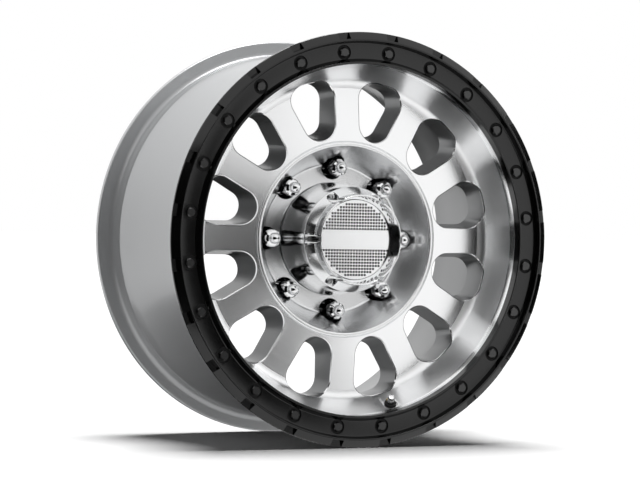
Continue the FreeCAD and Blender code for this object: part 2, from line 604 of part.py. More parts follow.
def make_bead_ring():
    """Ring bolted to the front flange: two ridges, a channel with bolt pockets, a notched outer slope."""
    body = new_body("bead_ring")
    section = outline(side_sketch(body, "ring_section"), [
        ("place.dish_radius", "place.ring_seat_y"),
        ("place.dish_radius", "place.ridge_y", "size.ring_inner_ridge / 3"),
        ("place.dish_radius + size.ring_inner_ridge", "place.ridge_y", "size.ring_inner_ridge / 3"),
        ("place.channel_inner", "place.channel_y", "size.edge_round"),
        ("place.channel_outer", "place.channel_y", "size.edge_round"),
        ("place.ridge_inner", "place.ridge_y"),
        ("place.ridge_outer", "place.ridge_y"),
        ("place.flange_radius", "place.ring_edge_y", "size.ring_edge_width / 2"),
        ("place.flange_radius", "place.ring_edge_y + size.ring_edge_width"),
        ("place.front_flange_radius", "place.ring_seat_y"),
    ])
    spin(body, "ring", section)
    turn = "180 / size.bolt_count"
    pocket_outline = circle(
        face_sketch(body, "pocket_outline", "place.ridge_y", turn),
        "place.bolt_circle_radius", "size.bolt_pocket_radius")
    pocket = sink(body, "pocket", pocket_outline, "size.ring_thickness - size.bolt_pocket_web")
    hole_outline = circle(
        face_sketch(body, "hole_outline", "place.bolt_seat_y", turn),
        "place.bolt_circle_radius", "size.bolt_radius + size.bolt_clearance")
    hole = sink(body, "hole", hole_outline, "2 * size.bolt_pocket_web")
    notch_inner = "place.ridge_outer + size.notch_set"
    notch_outer = "place.flange_radius + size.edge_round"
    notch_outline = outline(face_sketch(body, "notch_outline", "place.ridge_y", turn), [
        (notch_inner, "-size.notch_width / 2"),
        (notch_outer, "-size.notch_width / 2"),
        (notch_outer, "size.notch_width / 2"),
        (notch_inner, "size.notch_width / 2"),
    ])
    notch = sink(body, "notch", notch_outline, "size.ring_thickness - size.notch_web")
    round_pattern(body, "pockets", [pocket, hole, notch], "size.bolt_count")
    return body


def make_ring_bolts():
    """Hexagon-head bolts that hold the ring."""
    body = new_body("ring_bolt")
    turn = "180 / size.bolt_count"
    head = hexagon(
        face_sketch(body, "head_outline", "place.bolt_seat_y", turn),
        "place.bolt_circle_radius", "size.bolt_head_flats")
    raise_pad(body, "head", head, "size.bolt_head_height")
    shank = circle(
        face_sketch(body, "shank_outline", "place.bolt_seat_y", turn),
        "place.bolt_circle_radius", "size.bolt_radius")
    raise_pad(body, "shank", shank, "size.bolt_length", backwards=True)
    return ring_of("ring_bolts", body, "size.bolt_count")


def make_lug_nuts():
    """Closed nuts with a conical seat, a fluted drive and a round tip."""
    body = new_body("lug_nut")
    section = outline(side_sketch(body, "nut_section", "0", "place.lug_circle"), [
        ("size.nut_thread_radius", "place.nut_nose_y"),
        ("size.nut_nose_radius", "place.nut_nose_y"),
        ("size.nut_radius", "place.nut_cone_y"),
        ("size.nut_radius", "place.nut_drive_y"),
        ("size.nut_dome_radius", "place.nut_neck_y"),
        ("size.nut_dome_radius", "place.nut_tip_y", "size.nut_tip_round"),
        ("0", "place.nut_tip_y"),
        ("0", "place.nut_nose_y - size.nut_thread_depth"),
        ("size.nut_thread_radius", "place.nut_nose_y - size.nut_thread_depth"),
    ])
    spin(body, "nut", section)
    sketch = face_sketch(body, "flute_outline", "place.nut_tip_y")
    sketch.setExpression("AttachmentOffset.Base.x", "place.lug_circle")
    flute_outline = circle(sketch, "size.nut_radius + size.flute_radius / 3", "size.flute_radius")
    flute = sink(body, "flute", flute_outline, "place.nut_cone_y - place.nut_tip_y - size.edge_round")
    flutes = body.newObject("PartDesign::PolarPattern", "flutes")
    flutes.Originals = [flute]
    flutes.Axis = (sketch, ["N_Axis"])
    flutes.Angle = 360
    flutes.setExpression("Occurrences", "size.flute_count")
    body.Tip = flutes
    return ring_of("lug_nuts", body, "size.lug_count")


def make_cap_base():
    """Hollow base of the centre cap: skirt in the bore, concave flare, drum and screw ring."""
    body = new_body("cap_base")
    inside = "place.cap_drum_radius - size.cap_wall"
    section = outline(side_sketch(body, "base_section"), [
        ("place.cap_skirt_radius", "-size.hub_bore_length"),
        ("place.cap_skirt_radius", "place.cap_skirt_y"),
        ("place.cap_drum_radius", "place.cap_drum_y", "size.cap_flare_radius"),
        ("place.cap_drum_radius", "place.cap_split_y"),
        ("place.cap_bore_radius", "place.cap_split_y"),
        ("place.cap_bore_radius", "place.cap_split_y + size.cap_flange"),
        (inside, "place.cap_split_y + size.cap_flange"),
        (inside, "place.cap_drum_y", "size.cap_flare_radius"),
        ("place.cap_skirt_radius - size.cap_wall", "place.cap_skirt_y"),
        ("place.cap_skirt_radius - size.cap_wall", "-size.hub_bore_length"),
    ])
    spin(body, "base", section)
    outline_of_hole = circle(
        face_sketch(body, "base_hole_outline", "place.cap_split_y"),
        "place.cap_screw_circle", "size.cap_screw_radius + size.thread_clearance")
    hole = sink(body, "base_hole", outline_of_hole, "size.cap_flange")
    round_pattern(body, "base_holes", [hole], "size.cap_screw_count")
    return body


def make_cap_cover():
    """Front of the centre cap: recessed front, slanted shoulder and lens-shaped cuts for the screws."""
    body = new_body("cap_cover")
    floor = "place.cap_recess_y + size.cap_face_thickness"
    section = outline(side_sketch(body, "cover_section"), [
        ("0", "place.cap_under_y"),
        ("place.cap_cover_bore", "place.cap_under_y"),
        ("place.cap_cover_bore", "place.cap_split_y + size.cap_register"),
        ("place.cap_spigot_radius", "place.cap_split_y + size.cap_register"),
        ("place.cap_spigot_radius", "place.cap_split_y"),
        ("place.cap_drum_radius", "place.cap_split_y"),
        ("place.cap_drum_radius", "place.cap_split_y - size.cap_shoulder_edge"),
        ("place.cap_nose_radius", "place.cap_shoulder_y"),
        ("place.cap_nose_radius", "place.cap_top_y", "size.cap_lip / 3"),
        ("place.cap_nose_radius - size.cap_lip", "place.cap_top_y", "size.cap_lip / 3"),
        ("place.cap_recess_radius", floor),
        ("0", floor),
    ])
    spin(body, "cover", section)
    lens_outline = circle(
        face_sketch(body, "lens_outline", "place.cap_shoulder_y - size.edge_round"),
        "place.cap_screw_circle", "size.cap_spotface_radius")
    lens = sink(body, "lens", lens_outline, "place.cap_screw_seat_y - place.cap_shoulder_y + size.edge_round")
    hole_outline = circle(
        face_sketch(body, "cover_hole_outline", "place.cap_screw_seat_y"),
        "place.cap_screw_circle", "size.cap_screw_radius + size.cap_seat_clearance")
    hole = sink(body, "cover_hole", hole_outline, "2 * size.cap_spotface_web")
    round_pattern(body, "lenses", [lens, hole], "size.cap_screw_count")
    return body


def make_cap_face():
    """Thin disc on the floor of the cover's recess."""
    body = new_body("cap_face")
    sketch = face_sketch(body, "face_outline", "place.cap_recess_y + size.cap_face_thickness")
    edge = circle(sketch, "0", "place.cap_recess_radius - size.cap_face_clearance")
    raise_pad(body, "face", edge, "size.cap_face_thickness")
    return body


def make_cap_screws():
    """Socket-head screws that hold the cover to the base."""
    body = new_body("cap_screw")
    section = outline(side_sketch(body, "screw_section", "0", "place.cap_screw_circle"), [
        ("0", "place.cap_screw_seat_y + size.cap_screw_length"),
        ("size.cap_screw_radius", "place.cap_screw_seat_y + size.cap_screw_length"),
        ("size.cap_screw_radius", "place.cap_screw_seat_y"),
        ("size.cap_screw_head_radius", "place.cap_screw_seat_y"),
        ("size.cap_screw_head_radius", "place.cap_screw_seat_y - size.cap_screw_head"),
        ("0", "place.cap_screw_seat_y - size.cap_screw_head"),
    ])
    spin(body, "screw", section)
    socket = hexagon(
        face_sketch(body, "socket_outline", "place.cap_screw_seat_y - size.cap_screw_head"),
        "place.cap_screw_circle", "size.cap_screw_socket")
    sink(body, "socket", socket, "size.cap_screw_head / 2")
    return ring_of("cap_screws", body, "size.cap_screw_count")


def valve_point(depth, reach):
    """A point beside the valve's axis: depth runs in from the tyre side, reach is off the axis."""
    x = f"place.valve_r - ({depth}) * cos(size.valve_tilt) + ({reach}) * sin(size.valve_tilt)"
    y = f"place.valve_y - ({depth}) * sin(size.valve_tilt) - ({reach}) * cos(size.valve_tilt)"
    return x, y


def valve_outline(body, name, corners):
    """Outline beside the valve's axis, from (depth, reach) corners."""
    sketch = side_sketch(body, name, "size.valve_angle")
    axis = (valve_point("0", "0"), valve_point("place.valve_wall", "0"))
    return outline(sketch, [valve_point(depth, reach) for depth, reach in corners], axis)


def valve_body(label, corners):
    body = new_body(label)
    spin(body, label + "_turned", valve_outline(body, label + "_section", corners), "Axis0")
    return body


def make_valve():
    """Snap-in tyre valve: rubber stem, brass tube, core and ribbed cap."""
    neck = "size.valve_hole_radius - size.valve_clearance"
    head = "place.valve_seat - size.valve_head"
    stem = valve_body("valve_stem", [
        (head, "size.valve_tube_radius"),
        (head, "size.valve_head_radius"),
        ("place.valve_seat", "size.valve_head_radius"),
        ("place.valve_seat", neck),
        ("place.valve_mouth", neck),
        ("place.valve_mouth", "size.valve_bulge_radius"),
        ("place.valve_mouth + size.valve_bulge / 3", "size.valve_bulge_radius"),
        ("place.valve_stem_end", "size.valve_cap_radius"),
        ("place.valve_stem_end", "size.valve_tube_radius"),
    ])
    tube = valve_body("valve_tube", [
        (head, "size.valve_tube_bore"),
        (head, "size.valve_tube_radius"),
        ("place.valve_tube_end", "size.valve_tube_radius"),
        ("place.valve_tube_end", "size.valve_tube_bore"),
    ])
    core = valve_body("valve_core", [
        ("place.valve_tube_end - size.valve_core_length", "0"),
        ("place.valve_tube_end - size.valve_core_length", "size.valve_tube_bore"),
        ("place.valve_tube_end", "size.valve_tube_bore"),
        ("place.valve_tube_end", "0"),
    ])
    cap_floor = "place.valve_cap_end - size.valve_cap_floor"
    cap = valve_body("valve_cap", [
        ("place.valve_stem_end", "size.valve_tube_radius + size.valve_clearance"),
        ("place.valve_stem_end", "size.valve_cap_radius"),
        ("place.valve_cap_end", "size.valve_cap_radius"),
        ("place.valve_cap_end", "0"),
        (cap_floor, "0"),
        (cap_floor, "size.valve_tube_radius + size.valve_clearance"),
    ])
    return [stem, tube, core, cap]


def check_document():
    for item in doc.Objects:
        if {"Invalid", "Error"} & set(item.State):
            raise RuntimeError(f"{item.Name} failed: {item.State}")


nodes = [
    make_wheel(), make_bead_ring(), make_ring_bolts(), make_lug_nuts(),
    make_cap_base(), make_cap_cover(), make_cap_face(), make_cap_screws(), *make_valve(),
]
doc.recompute()
check_document()
for node in nodes:
    if node.Shape.isNull() or not node.Shape.isValid():
        raise RuntimeError(f"{node.Label} has no valid shape")

os.makedirs("parts", exist_ok=True)
for node in nodes:
    node.Shape.exportStep(f"parts/{node.Label}.step")
    print(f"{node.Label}: {len(node.Shape.Solids)} solids, {node.Shape.Volume / 1000:.1f} cm3")
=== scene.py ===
"""Truck wheel with a bolted black lip ring, closed lug nuts and a tall plated cap, in a white studio."""
import json
import math
from contextlib import contextmanager

import bmesh
import bpy
from mathutils import Matrix, Quaternion, Vector


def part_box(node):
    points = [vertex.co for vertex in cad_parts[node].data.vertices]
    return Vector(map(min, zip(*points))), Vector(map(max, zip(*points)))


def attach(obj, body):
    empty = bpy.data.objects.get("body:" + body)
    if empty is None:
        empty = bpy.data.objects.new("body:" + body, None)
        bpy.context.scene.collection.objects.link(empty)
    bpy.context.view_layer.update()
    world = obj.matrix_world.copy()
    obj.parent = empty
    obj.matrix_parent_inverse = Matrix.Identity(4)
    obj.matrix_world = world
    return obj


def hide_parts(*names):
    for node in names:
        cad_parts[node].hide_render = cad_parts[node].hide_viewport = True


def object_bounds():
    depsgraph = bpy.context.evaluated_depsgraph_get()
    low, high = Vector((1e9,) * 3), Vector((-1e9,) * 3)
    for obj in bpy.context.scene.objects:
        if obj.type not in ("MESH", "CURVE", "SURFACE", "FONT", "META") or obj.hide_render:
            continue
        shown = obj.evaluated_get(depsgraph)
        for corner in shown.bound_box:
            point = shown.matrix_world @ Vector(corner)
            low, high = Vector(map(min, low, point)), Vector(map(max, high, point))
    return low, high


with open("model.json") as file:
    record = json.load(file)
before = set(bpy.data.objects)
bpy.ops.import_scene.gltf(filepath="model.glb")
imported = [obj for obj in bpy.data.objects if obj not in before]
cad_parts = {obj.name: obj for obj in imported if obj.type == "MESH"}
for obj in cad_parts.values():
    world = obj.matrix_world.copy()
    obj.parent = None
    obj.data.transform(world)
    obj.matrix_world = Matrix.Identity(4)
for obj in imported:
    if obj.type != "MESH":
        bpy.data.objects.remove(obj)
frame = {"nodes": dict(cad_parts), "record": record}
cad_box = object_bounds()

MM = 0.001

# How round things are: steps of a full turn, and the angles of an arc's step and of a smooth edge
SPIN_STEPS = 360
CAP_STEPS = 180
VALVE_CAP_STEPS = 96
NUT_STEPS = 64
HOLE_STEPS = 48
SCREW_STEPS = 36
SMALL_HOLE_STEPS = 24
SHANK_STEPS = 16
RIB_STEPS = 12
HEXAGON = 6
ARC_STEP = math.radians(9)
SMOOTH = math.radians(30)

# Margins: points that weld, points on a level, faces picked by place, a cutter past its cut, play of a fit
WELD = 0.005 * MM
SLIGHT = 0.001 * MM
NEAR = 1 * MM
CUT_PAST = 5 * MM
FIT = 0.05 * MM

# How far a face may lean inward, as a sine, and still count as the rim's outside
OUTWARD_LEAN = -0.2

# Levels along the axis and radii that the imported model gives
wheel_low, wheel_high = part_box("wheel")
ring_low, ring_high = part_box("bead_ring")
base_low, base_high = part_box("cap_base")
cover_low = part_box("cap_cover")[0]
face_low, face_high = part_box("cap_face")
nut_low, nut_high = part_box("lug_nuts")
bolt_low, bolt_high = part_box("ring_bolts")
screw_low, screw_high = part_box("cap_screws")
FLANGE_R = wheel_high.z
REAR_Y = wheel_high.y
RING_SEAT_Y = wheel_low.y
RIDGE_Y = ring_low.y
RING_R = min(ring_high.z, ring_high.x)

# Slot of the painted shade, a darker finish on pieces that have two: the bolt pockets of the ring and the
# dimples of the cap face
PAINTED_SHADE_SLOT = 1

# Fine marks of the finishes
TURNED_GROOVE = 0.7 * MM
POLISHED_GROOVE = 0.5 * MM
GROOVE_DEPTH = 0.04 * MM
GRAIN_DEPTH = 0.05 * MM
WAVE_DEPTH = 0.2 * MM

# Rim
SEAT_R = 218.3 * MM
SEAT_Y = REAR_Y - 10 * MM
BEAD_FILLET = 6.5 * MM
EDGE_ROUND = 2 * MM
REAR_EDGE_ROUND = 4 * MM
HUMP_R = SEAT_R + 0.05 * MM
HUMP_TOE_R = SEAT_R - 1.75 * MM
HUMP_Y = 80 * MM
HUMP_WIDTH = 4 * MM
HUMP_ROUND = 4 * MM
FRONT_FLANGE_R = 231 * MM
FRONT_FLANGE_Y = RING_SEAT_Y + 6 * MM
WELL_R = 199.8 * MM
WELL_FRONT_Y = -60.45 * MM
WELL_REAR_Y = -5.45 * MM
WELL_FILLET = 14 * MM
RAMP_R = 214.4 * MM
RAMP_Y = 66.55 * MM
MOUTH_R = 222 * MM
MOUTH_Y = 100.45 * MM
MOUTH_RISE = 2.15 * MM
BARREL_WALL = 7.5 * MM
WELL_INSIDE_R = WELL_R - BARREL_WALL
RAMP_INSIDE_R = RAMP_R - BARREL_WALL

# Disc and hub
DISH_R = 199.3 * MM
DISH_WALL_Y = RING_SEAT_Y + 11.5 * MM
FOOT_R = 181.5 * MM
FOOT_Y = -67.6 * MM
FOOT_FILLET = 11 * MM
WALL_FROM_R = FOOT_R - 9 * MM
WALL_TO_R = DISH_R - 0.2 * MM
DISC_BACK_Y = -35.4 * MM
DISC_BACK_FILLET = 14 * MM
HUB_LIP_R = 112 * MM
HUB_LIP_Y = -75.2 * MM
HUB_LIP_ROUND = 1.4 * MM
HUB_LIP_RISE = 0.8 * MM
HUB_GROOVE = 1.4 * MM
HUB_STEP = 2.2 * MM
BOWL_FLOOR_R = 86.6 * MM
BOWL_FLOOR_Y = -32.8 * MM
BOWL_RUN = 21.2 * MM
BOWL_FILLET = 4 * MM
HUB_BACK_R = 105 * MM
HUB_FLARE = 13 * MM
HUB_EDGE_ROUND = 1 * MM
BORE_R = 62.6 * MM
CAP_SEAT_R = 65.2 * MM
CAP_SEAT_Y = base_high.y
CAP_SEAT_CHAMFER = 0.8 * MM

# Windows and holes
WINDOWS = 12
SPOKE_HALF = 15.4 * MM
SPOKE_DRAFT = 4 * MM
WINDOW_INNER = HUB_LIP_R + 4.8 * MM
WINDOW_OUTER = DISH_R - 15.3 * MM
WINDOW_CORNER = 19 * MM
WINDOW_BACK_IN = 7 * MM
WINDOW_BACK_OUT = 0.5 * MM
WINDOW_EDGE = 1.1 * MM
WINDOW_CLEAR = 1.5 * MM
ROUND_END_STEPS, SIDE_STEPS, CORNER_STEPS, OUTER_END_STEPS = 10, 6, 12, 6
LUGS = 8
LUG_CIRCLE = 82.55 * MM
LUG_HOLE_R = 7.6 * MM
LUG_MOUTH_R = 13.6 * MM
LUG_SEAT_Y = -18 * MM
LUG_SEAT_HALF_ANGLE = math.radians(30)
RELIEF_R = 8.5 * MM
RELIEF_INNER = 78 * MM
RELIEF_OUTER = 91 * MM
RELIEF_DEPTH = 14 * MM
THREAD_PAST = 0.5 * MM

# Lip ring and its bolts
RING_BOLTS = 24
INNER_CREST_ROUND = 0.7 * MM
RIDGE_R = DISH_R + 2.4 * MM
CHANNEL_INNER = DISH_R + 5.9 * MM
CHANNEL_OUTER = 223.4 * MM
CHANNEL_Y = RIDGE_Y + 7.8 * MM
CHANNEL_ROUND = 1.2 * MM
RIDGE_OUTER_IN = 225.4 * MM
RIDGE_OUTER_OUT = 227.2 * MM
CREST_ROUND_IN = 0.8 * MM
CREST_ROUND_OUT = 0.9 * MM
RING_EDGE_Y = RIDGE_Y + 5.3 * MM
RING_EDGE = 3 * MM
RING_EDGE_ROUND_FRONT = 1.2 * MM
RING_EDGE_ROUND_BACK = 1 * MM
BOLT_CIRCLE = 213.4 * MM
POCKET_R = 8.5 * MM
POCKET_Y = CHANNEL_Y + 1.8 * MM
POCKET_CHAMFER = 1 * MM
POCKET_RIM_Y = CHANNEL_Y - 0.5 * MM
RING_HOLE_R = 3.3 * MM
NOTCH_WIDTH = 14 * MM
NOTCH_START = RIDGE_OUTER_OUT + 0.6 * MM
NOTCH_Y = RING_SEAT_Y - 5.4 * MM
BOLT_FLATS = 10 * MM
BOLT_HEAD_R = BOLT_FLATS / math.sqrt(3)
BOLT_TOP_R = 4.4 * MM
BOLT_CHAMFER = 0.6 * MM
BOLT_CORNER_DROP = 1.1 * MM
BOLT_R = 3 * MM
SHANK_OVERLAP = 0.5 * MM

# Lug nuts
NUT_R = 10 * MM
NUT_NOSE_R = 8.1 * MM
NUT_CONE = 3.29 * MM
NUT_BORE_R = 6.1 * MM
NUT_BORE_DEPTH = 32 * MM
NUT_TIP_R = 6.6 * MM
NUT_BALL_STEPS = 10
DRIVE_Y = -52.36 * MM
DRIVE_ROUND = 0.5 * MM
SHOULDER_R = NUT_R - 1.4 * MM
SHOULDER_Y = DRIVE_Y - 1.2 * MM
SHOULDER_ROUND = 0.4 * MM
NECK_R = NUT_TIP_R - 0.6 * MM
NECK_Y = DRIVE_Y - 2.4 * MM
NECK_END_Y = DRIVE_Y - 4 * MM
NECK_ROUND = 0.6 * MM
FLUTES = 6
FLUTE_R = 2 * MM
FLUTE_CIRCLE = NUT_R + 0.6 * MM
FLUTE_TURN = 30
FLUTE_STOP = 7 * MM

# Centre cap and its screws
CAP_R = 60.4 * MM
CAP_SKIRT_R = min(65 * MM, base_high.x)
CAP_FLARE_R = 80 * MM
FLARE_TOP_Y = -65.4 * MM
FLARE_FOOT_Y = -34.8 * MM
FLARE_STEPS = 12
CAP_WALL = 1.6 * MM
SKIRT_WALL = CAP_WALL + 1 * MM
CAP_BORE_R = 45.2 * MM
CAP_SPLIT_Y = base_low.y
CAP_SPLIT_ROUND = 0.3 * MM
CAP_LEDGE = 6 * MM
CAP_NOSE_R = 51.6 * MM
CAP_NOSE_ROUND = 0.9 * MM
CAP_EDGE = 2 * MM
CAP_EDGE_ROUND = 1.2 * MM
CAP_SHOULDER_Y = cover_low.y + 15 * MM
CAP_LIP = 2 * MM
CAP_LIP_ROUND = 0.6 * MM
RECESS_R = CAP_BORE_R + 0.2 * MM
COVER_BORE_R = 41.85 * MM
COVER_LEDGE = 4.5 * MM
SCREWS = 6
SCREW_CIRCLE = 55.6 * MM
SPOT_R = 6.5 * MM
SPOT_Y = cover_low.y + 24 * MM
SCREW_HEAD_R = 3.5 * MM
SCREW_HEAD_ROUND = 0.5 * MM
SCREW_R = 1.9 * MM
SOCKET_FLATS = 3 * MM
SOCKET_R = SOCKET_FLATS / math.sqrt(3)
SOCKET_DEPTH = 1.75 * MM
DIMPLE_PITCH = 3.5 * MM
DIMPLE_ROWS = 26
DIMPLE_RIB = 0.5 * MM
DIMPLE_SLOPE = 0.35 * MM
DIMPLE_DEPTH = 0.8 * MM
# How far below the front, and short of the back, a face of a dimple lies before it takes the painted shade
DIMPLE_PAINTED_SHADE_FROM = 0.2 * MM
PLAIN_EDGE = 0.5 * MM
BAND_HALF = 10.6 * MM

# Valve, along its own axis from the end of its tube
STEM_END = -6.6 * MM
STEM_MOUTH = STEM_END - 3 * MM
STEM_SEAT = STEM_MOUTH - 6 * MM
STEM_HEAD = STEM_SEAT - 3.6 * MM
STEM_BORE_R = 2.6 * MM
STEM_HEAD_R = 7.9 * MM
STEM_HEAD_ROUND = 0.6 * MM
STEM_NECK_R = 5.7 * MM
STEM_FLARE_R = 7.4 * MM
STEM_END_R = 6.2 * MM
STEM_ROUND = 0.5 * MM
STEM_GAP = 0.1 * MM
VALVE_POCKET_R = 8.6 * MM
VALVE_POCKET = 6 * MM
VALVE_CAP_R = 4.4 * MM
VALVE_CAP_BORE_R = 2.65 * MM
VALVE_CAP_TOP = STEM_END + 8.6 * MM
VALVE_CAP_TOP_R = VALVE_CAP_R - 0.9 * MM
VALVE_CAP_CONE = 1.6 * MM
VALVE_CAP_FOOT_ROUND = 0.3 * MM
VALVE_CAP_SIDE_ROUND = 0.4 * MM
VALVE_CAP_TOP_ROUND = 0.6 * MM
VALVE_CAP_CLOSED = 1.2 * MM
RIBS = 16
RIB_R = 0.45 * MM
RIB_CIRCLE = VALVE_CAP_R + 0.1 * MM
RIB_START = STEM_END + 1 * MM
RIB_END = VALVE_CAP_TOP - 2 * MM


def clear_selection():
    bpy.ops.object.select_all(action="DESELECT")


def select_only(obj):
    clear_selection()
    obj.select_set(True)
    bpy.context.view_layer.objects.active = obj


@contextmanager
def editing(obj, mode="FACE"):
    """Edit mode with all of the mesh selected; gives the mesh so that parts of it can be picked."""
    select_only(obj)
    bpy.ops.object.mode_set(mode="EDIT")
    bpy.ops.mesh.select_mode(type=mode)
    bpy.ops.mesh.select_all(action="SELECT")
    yield bmesh.from_edit_mesh(obj.data)
    bpy.ops.object.mode_set(mode="OBJECT")


def arc(centre, spoke, turn, steps):
    """Points from the end of the spoke round the centre."""
    return [centre + Matrix.Rotation(turn * k / steps, 2) @ spoke for k in range(steps + 1)]


def rounded(corners):
    """Points of a closed outline whose corners (x, y) are sharp and corners (x, y, radius) are arcs."""
    points = []
    for i, corner in enumerate(corners):
        here = Vector(corner[:2])
        if len(corner) == 2:
            points.append(here)
            continue
        back = (Vector(corners[i - 1][:2]) - here).normalized()
        ahead = (Vector(corners[(i + 1) % len(corners)][:2]) - here).normalized()
        half = back.angle(ahead) / 2
        centre = here + (back + ahead).normalized() * (corner[2] / math.sin(half))
        spoke = here + back * (corner[2] / math.tan(half)) - centre
        turn = math.copysign(math.pi - 2 * half, -back.cross(ahead))
        points += arc(centre, spoke, turn, max(2, math.ceil(abs(turn) / ARC_STEP)))
    return points


def draw_loop(name, points):
    """A closed wire through the points; flat points lie in the plane of the radius (x) and the axis (y)."""
    clear_selection()
    bpy.ops.mesh.primitive_circle_add(vertices=len(points), radius=1, fill_type="NOTHING")
    obj = bpy.context.object
    obj.name = name
    for vertex, point in zip(obj.data.vertices, points):
        vertex.co = point.to_3d()
    return obj


def close_mesh(obj):
    with editing(obj, "VERT"):
        bpy.ops.mesh.remove_doubles(threshold=WELD)
        bpy.ops.mesh.delete_loose(use_verts=True, use_edges=True, use_faces=False)
        bpy.ops.mesh.select_all(action="SELECT")
        bpy.ops.mesh.normals_make_consistent(inside=False)


def spun(name, corners, steps=SPIN_STEPS):
    """A solid of revolution about the wheel axis."""
    obj = draw_loop(name, rounded(corners))
    with editing(obj, "EDGE"):
        bpy.ops.mesh.spin(steps=steps, angle=2 * math.pi, center=(0, 0, 0), axis=(0, 1, 0))
    close_mesh(obj)
    return obj


def lofted(name, rings):
    """A closed solid: the first ring is filled, then extruded to each next ring, point by point."""
    obj = draw_loop(name, rings[0])
    with editing(obj, "VERT"):
        bpy.ops.mesh.edge_face_add()
        for before, after in zip(rings, rings[1:]):
            bpy.ops.mesh.extrude_region_move()
            mesh = bmesh.from_edit_mesh(obj.data)
            for vertex in [v for v in mesh.verts if v.select]:
                nearest = min(range(len(before)), key=lambda i: (before[i] - vertex.co).length)
                vertex.co = after[nearest]
            bmesh.update_edit_mesh(obj.data)
    close_mesh(obj)
    return obj


def prism(name, sides, radius, low, high):
    """A prism along the wheel axis from level low to level high."""
    angles = [2 * math.pi * k / sides for k in range(sides)]
    return lofted(name, [[Vector((radius * math.cos(a), y, radius * math.sin(a))) for a in angles]
                         for y in (low, high)])


def moved(obj, matrix):
    obj.data.transform(matrix)
    return obj


def turned(degrees):
    return Matrix.Rotation(math.radians(-degrees), 4, "Y")


def out_at(radius, degrees=0):
    return turned(degrees) @ Matrix.Translation((radius, 0, 0))


def copies_round(obj, count):
    """Repeats the mesh round the wheel axis, so that there are count of it."""
    with editing(obj):
        bpy.ops.mesh.spin(steps=count - 1, angle=2 * math.pi * (count - 1) / count, dupli=True,
                          center=(0, 0, 0), axis=(0, 1, 0))


def boolean(obj, other, operation="DIFFERENCE"):
    select_only(obj)
    step = obj.modifiers.new("cut", "BOOLEAN")
    step.operation = operation
    step.object = other
    step.solver = "MANIFOLD"
    bpy.ops.object.modifier_apply(modifier=step.name)
    bpy.data.objects.remove(other)


def radial(face):
    return math.hypot(face.center.x, face.center.z)


def everywhere(face):
    return True


def give_slots(obj, materials):
    for material in materials:
        obj.data.materials.append(material)


def paint_faces(obj, index, test):
    for face in obj.data.polygons:
        if test(face):
            face.material_index = index


def dress(obj, node, slot, *materials):
    """Gives the piece its materials, shades it, hangs it under the root body and hides the imported part of
    its node.
    """
    for i, material in enumerate(materials):
        if i < len(obj.data.materials):
            obj.data.materials[i] = material
        else:
            obj.data.materials.append(material)
    select_only(obj)
    bpy.ops.object.shade_smooth_by_angle(angle=SMOOTH)
    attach(obj, "root")
    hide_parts(node)


class Value:
    """A node's output, with Python's operators as Math nodes."""

    def __init__(self, finish, socket):
        self.finish = finish
        self.socket = socket

    def math(self, operation, first, second=0.0):
        return self.finish.node("ShaderNodeMath", {"operation": operation}, {0: first, 1: second})

    def __add__(self, other):
        return self.math("ADD", self, other)

    __radd__ = __add__

    def __mul__(self, other):
        return self.math("MULTIPLY", self, other)

    __rmul__ = __mul__

    def __pow__(self, other):
        return self.math("POWER", self, other)

    def sine(self):
        return self.math("SINE", self)


class Finish:
    """A procedural material on one Principled shader."""

    def __init__(self, name, **constants):
        self.material = bpy.data.materials.new(name)
        self.material.use_nodes = True
        self.tree = self.material.node_tree
        self.shader = self.tree.nodes["Principled BSDF"]
        for key, value in constants.items():
            self.shader.inputs[key.replace("_", " ")].default_value = value

    def node(self, kind, settings=None, inputs=None, output=0):
        node = self.tree.nodes.new(kind)
        for key, value in (settings or {}).items():
            setattr(node, key, value)
        for key, value in (inputs or {}).items():
            if isinstance(value, Value):
                self.tree.links.new(value.socket, node.inputs[key])
            else:
                node.inputs[key].default_value = value
        return Value(self, node.outputs[output])

    def feed(self, name, value):
        self.tree.links.new(value.socket, self.shader.inputs[name])

    def place(self):
        return self.node("ShaderNodeTexCoord", output="Object")

    def part_of(self, vector, axis):
        return self.node("ShaderNodeSeparateXYZ", inputs={0: vector}, output=axis)

    def radius(self):
        place = self.place()
        x = self.part_of(place, "X")
        z = self.part_of(place, "Z")
        return (x * x + z * z) ** 0.5

    def noise(self, scale, detail=2.0, vector=None):
        return self.node("ShaderNodeTexNoise", inputs={
            "Vector": vector or self.place(), "Scale": scale, "Detail": detail})

    def ring_noise(self, scale):
        """Noise that is the same all round the wheel axis, for marks left by turning."""
        along = self.part_of(self.place(), "Y")
        vector = self.node("ShaderNodeCombineXYZ", inputs={0: self.radius(), 1: along})
        return self.noise(scale, 3.0, vector)

    def blend(self, factor, low, high):
        return self.node("ShaderNodeMix", {"data_type": "RGBA"}, {0: factor, 6: low, 7: high}, output=2)

    def bump(self, height, strength, distance):
        normal = self.node("ShaderNodeBump", inputs={
            "Height": height, "Strength": strength, "Distance": distance}, output="Normal")
        self.feed("Normal", normal)


def grey(value, tint=0.0):
    return (value * (1 - tint), value * (1 - tint * 0.5), value, 1)


def turned_metal(name, rough, groove):
    """Bright lathe-turned aluminium."""
    finish = Finish(name, Metallic=1.0)
    rings = finish.ring_noise(900)
    broad = finish.noise(18)
    finish.feed("Base Color", finish.blend(rings, grey(0.93, 0.01), grey(0.98, 0.01)))
    finish.feed("Roughness", rough + 0.05 * rings + 0.04 * broad)
    grooves = (finish.radius() * (2 * math.pi / TURNED_GROOVE)).sine()
    finish.bump(grooves * 0.5 + rings, groove, GROOVE_DEPTH)
    return finish.material


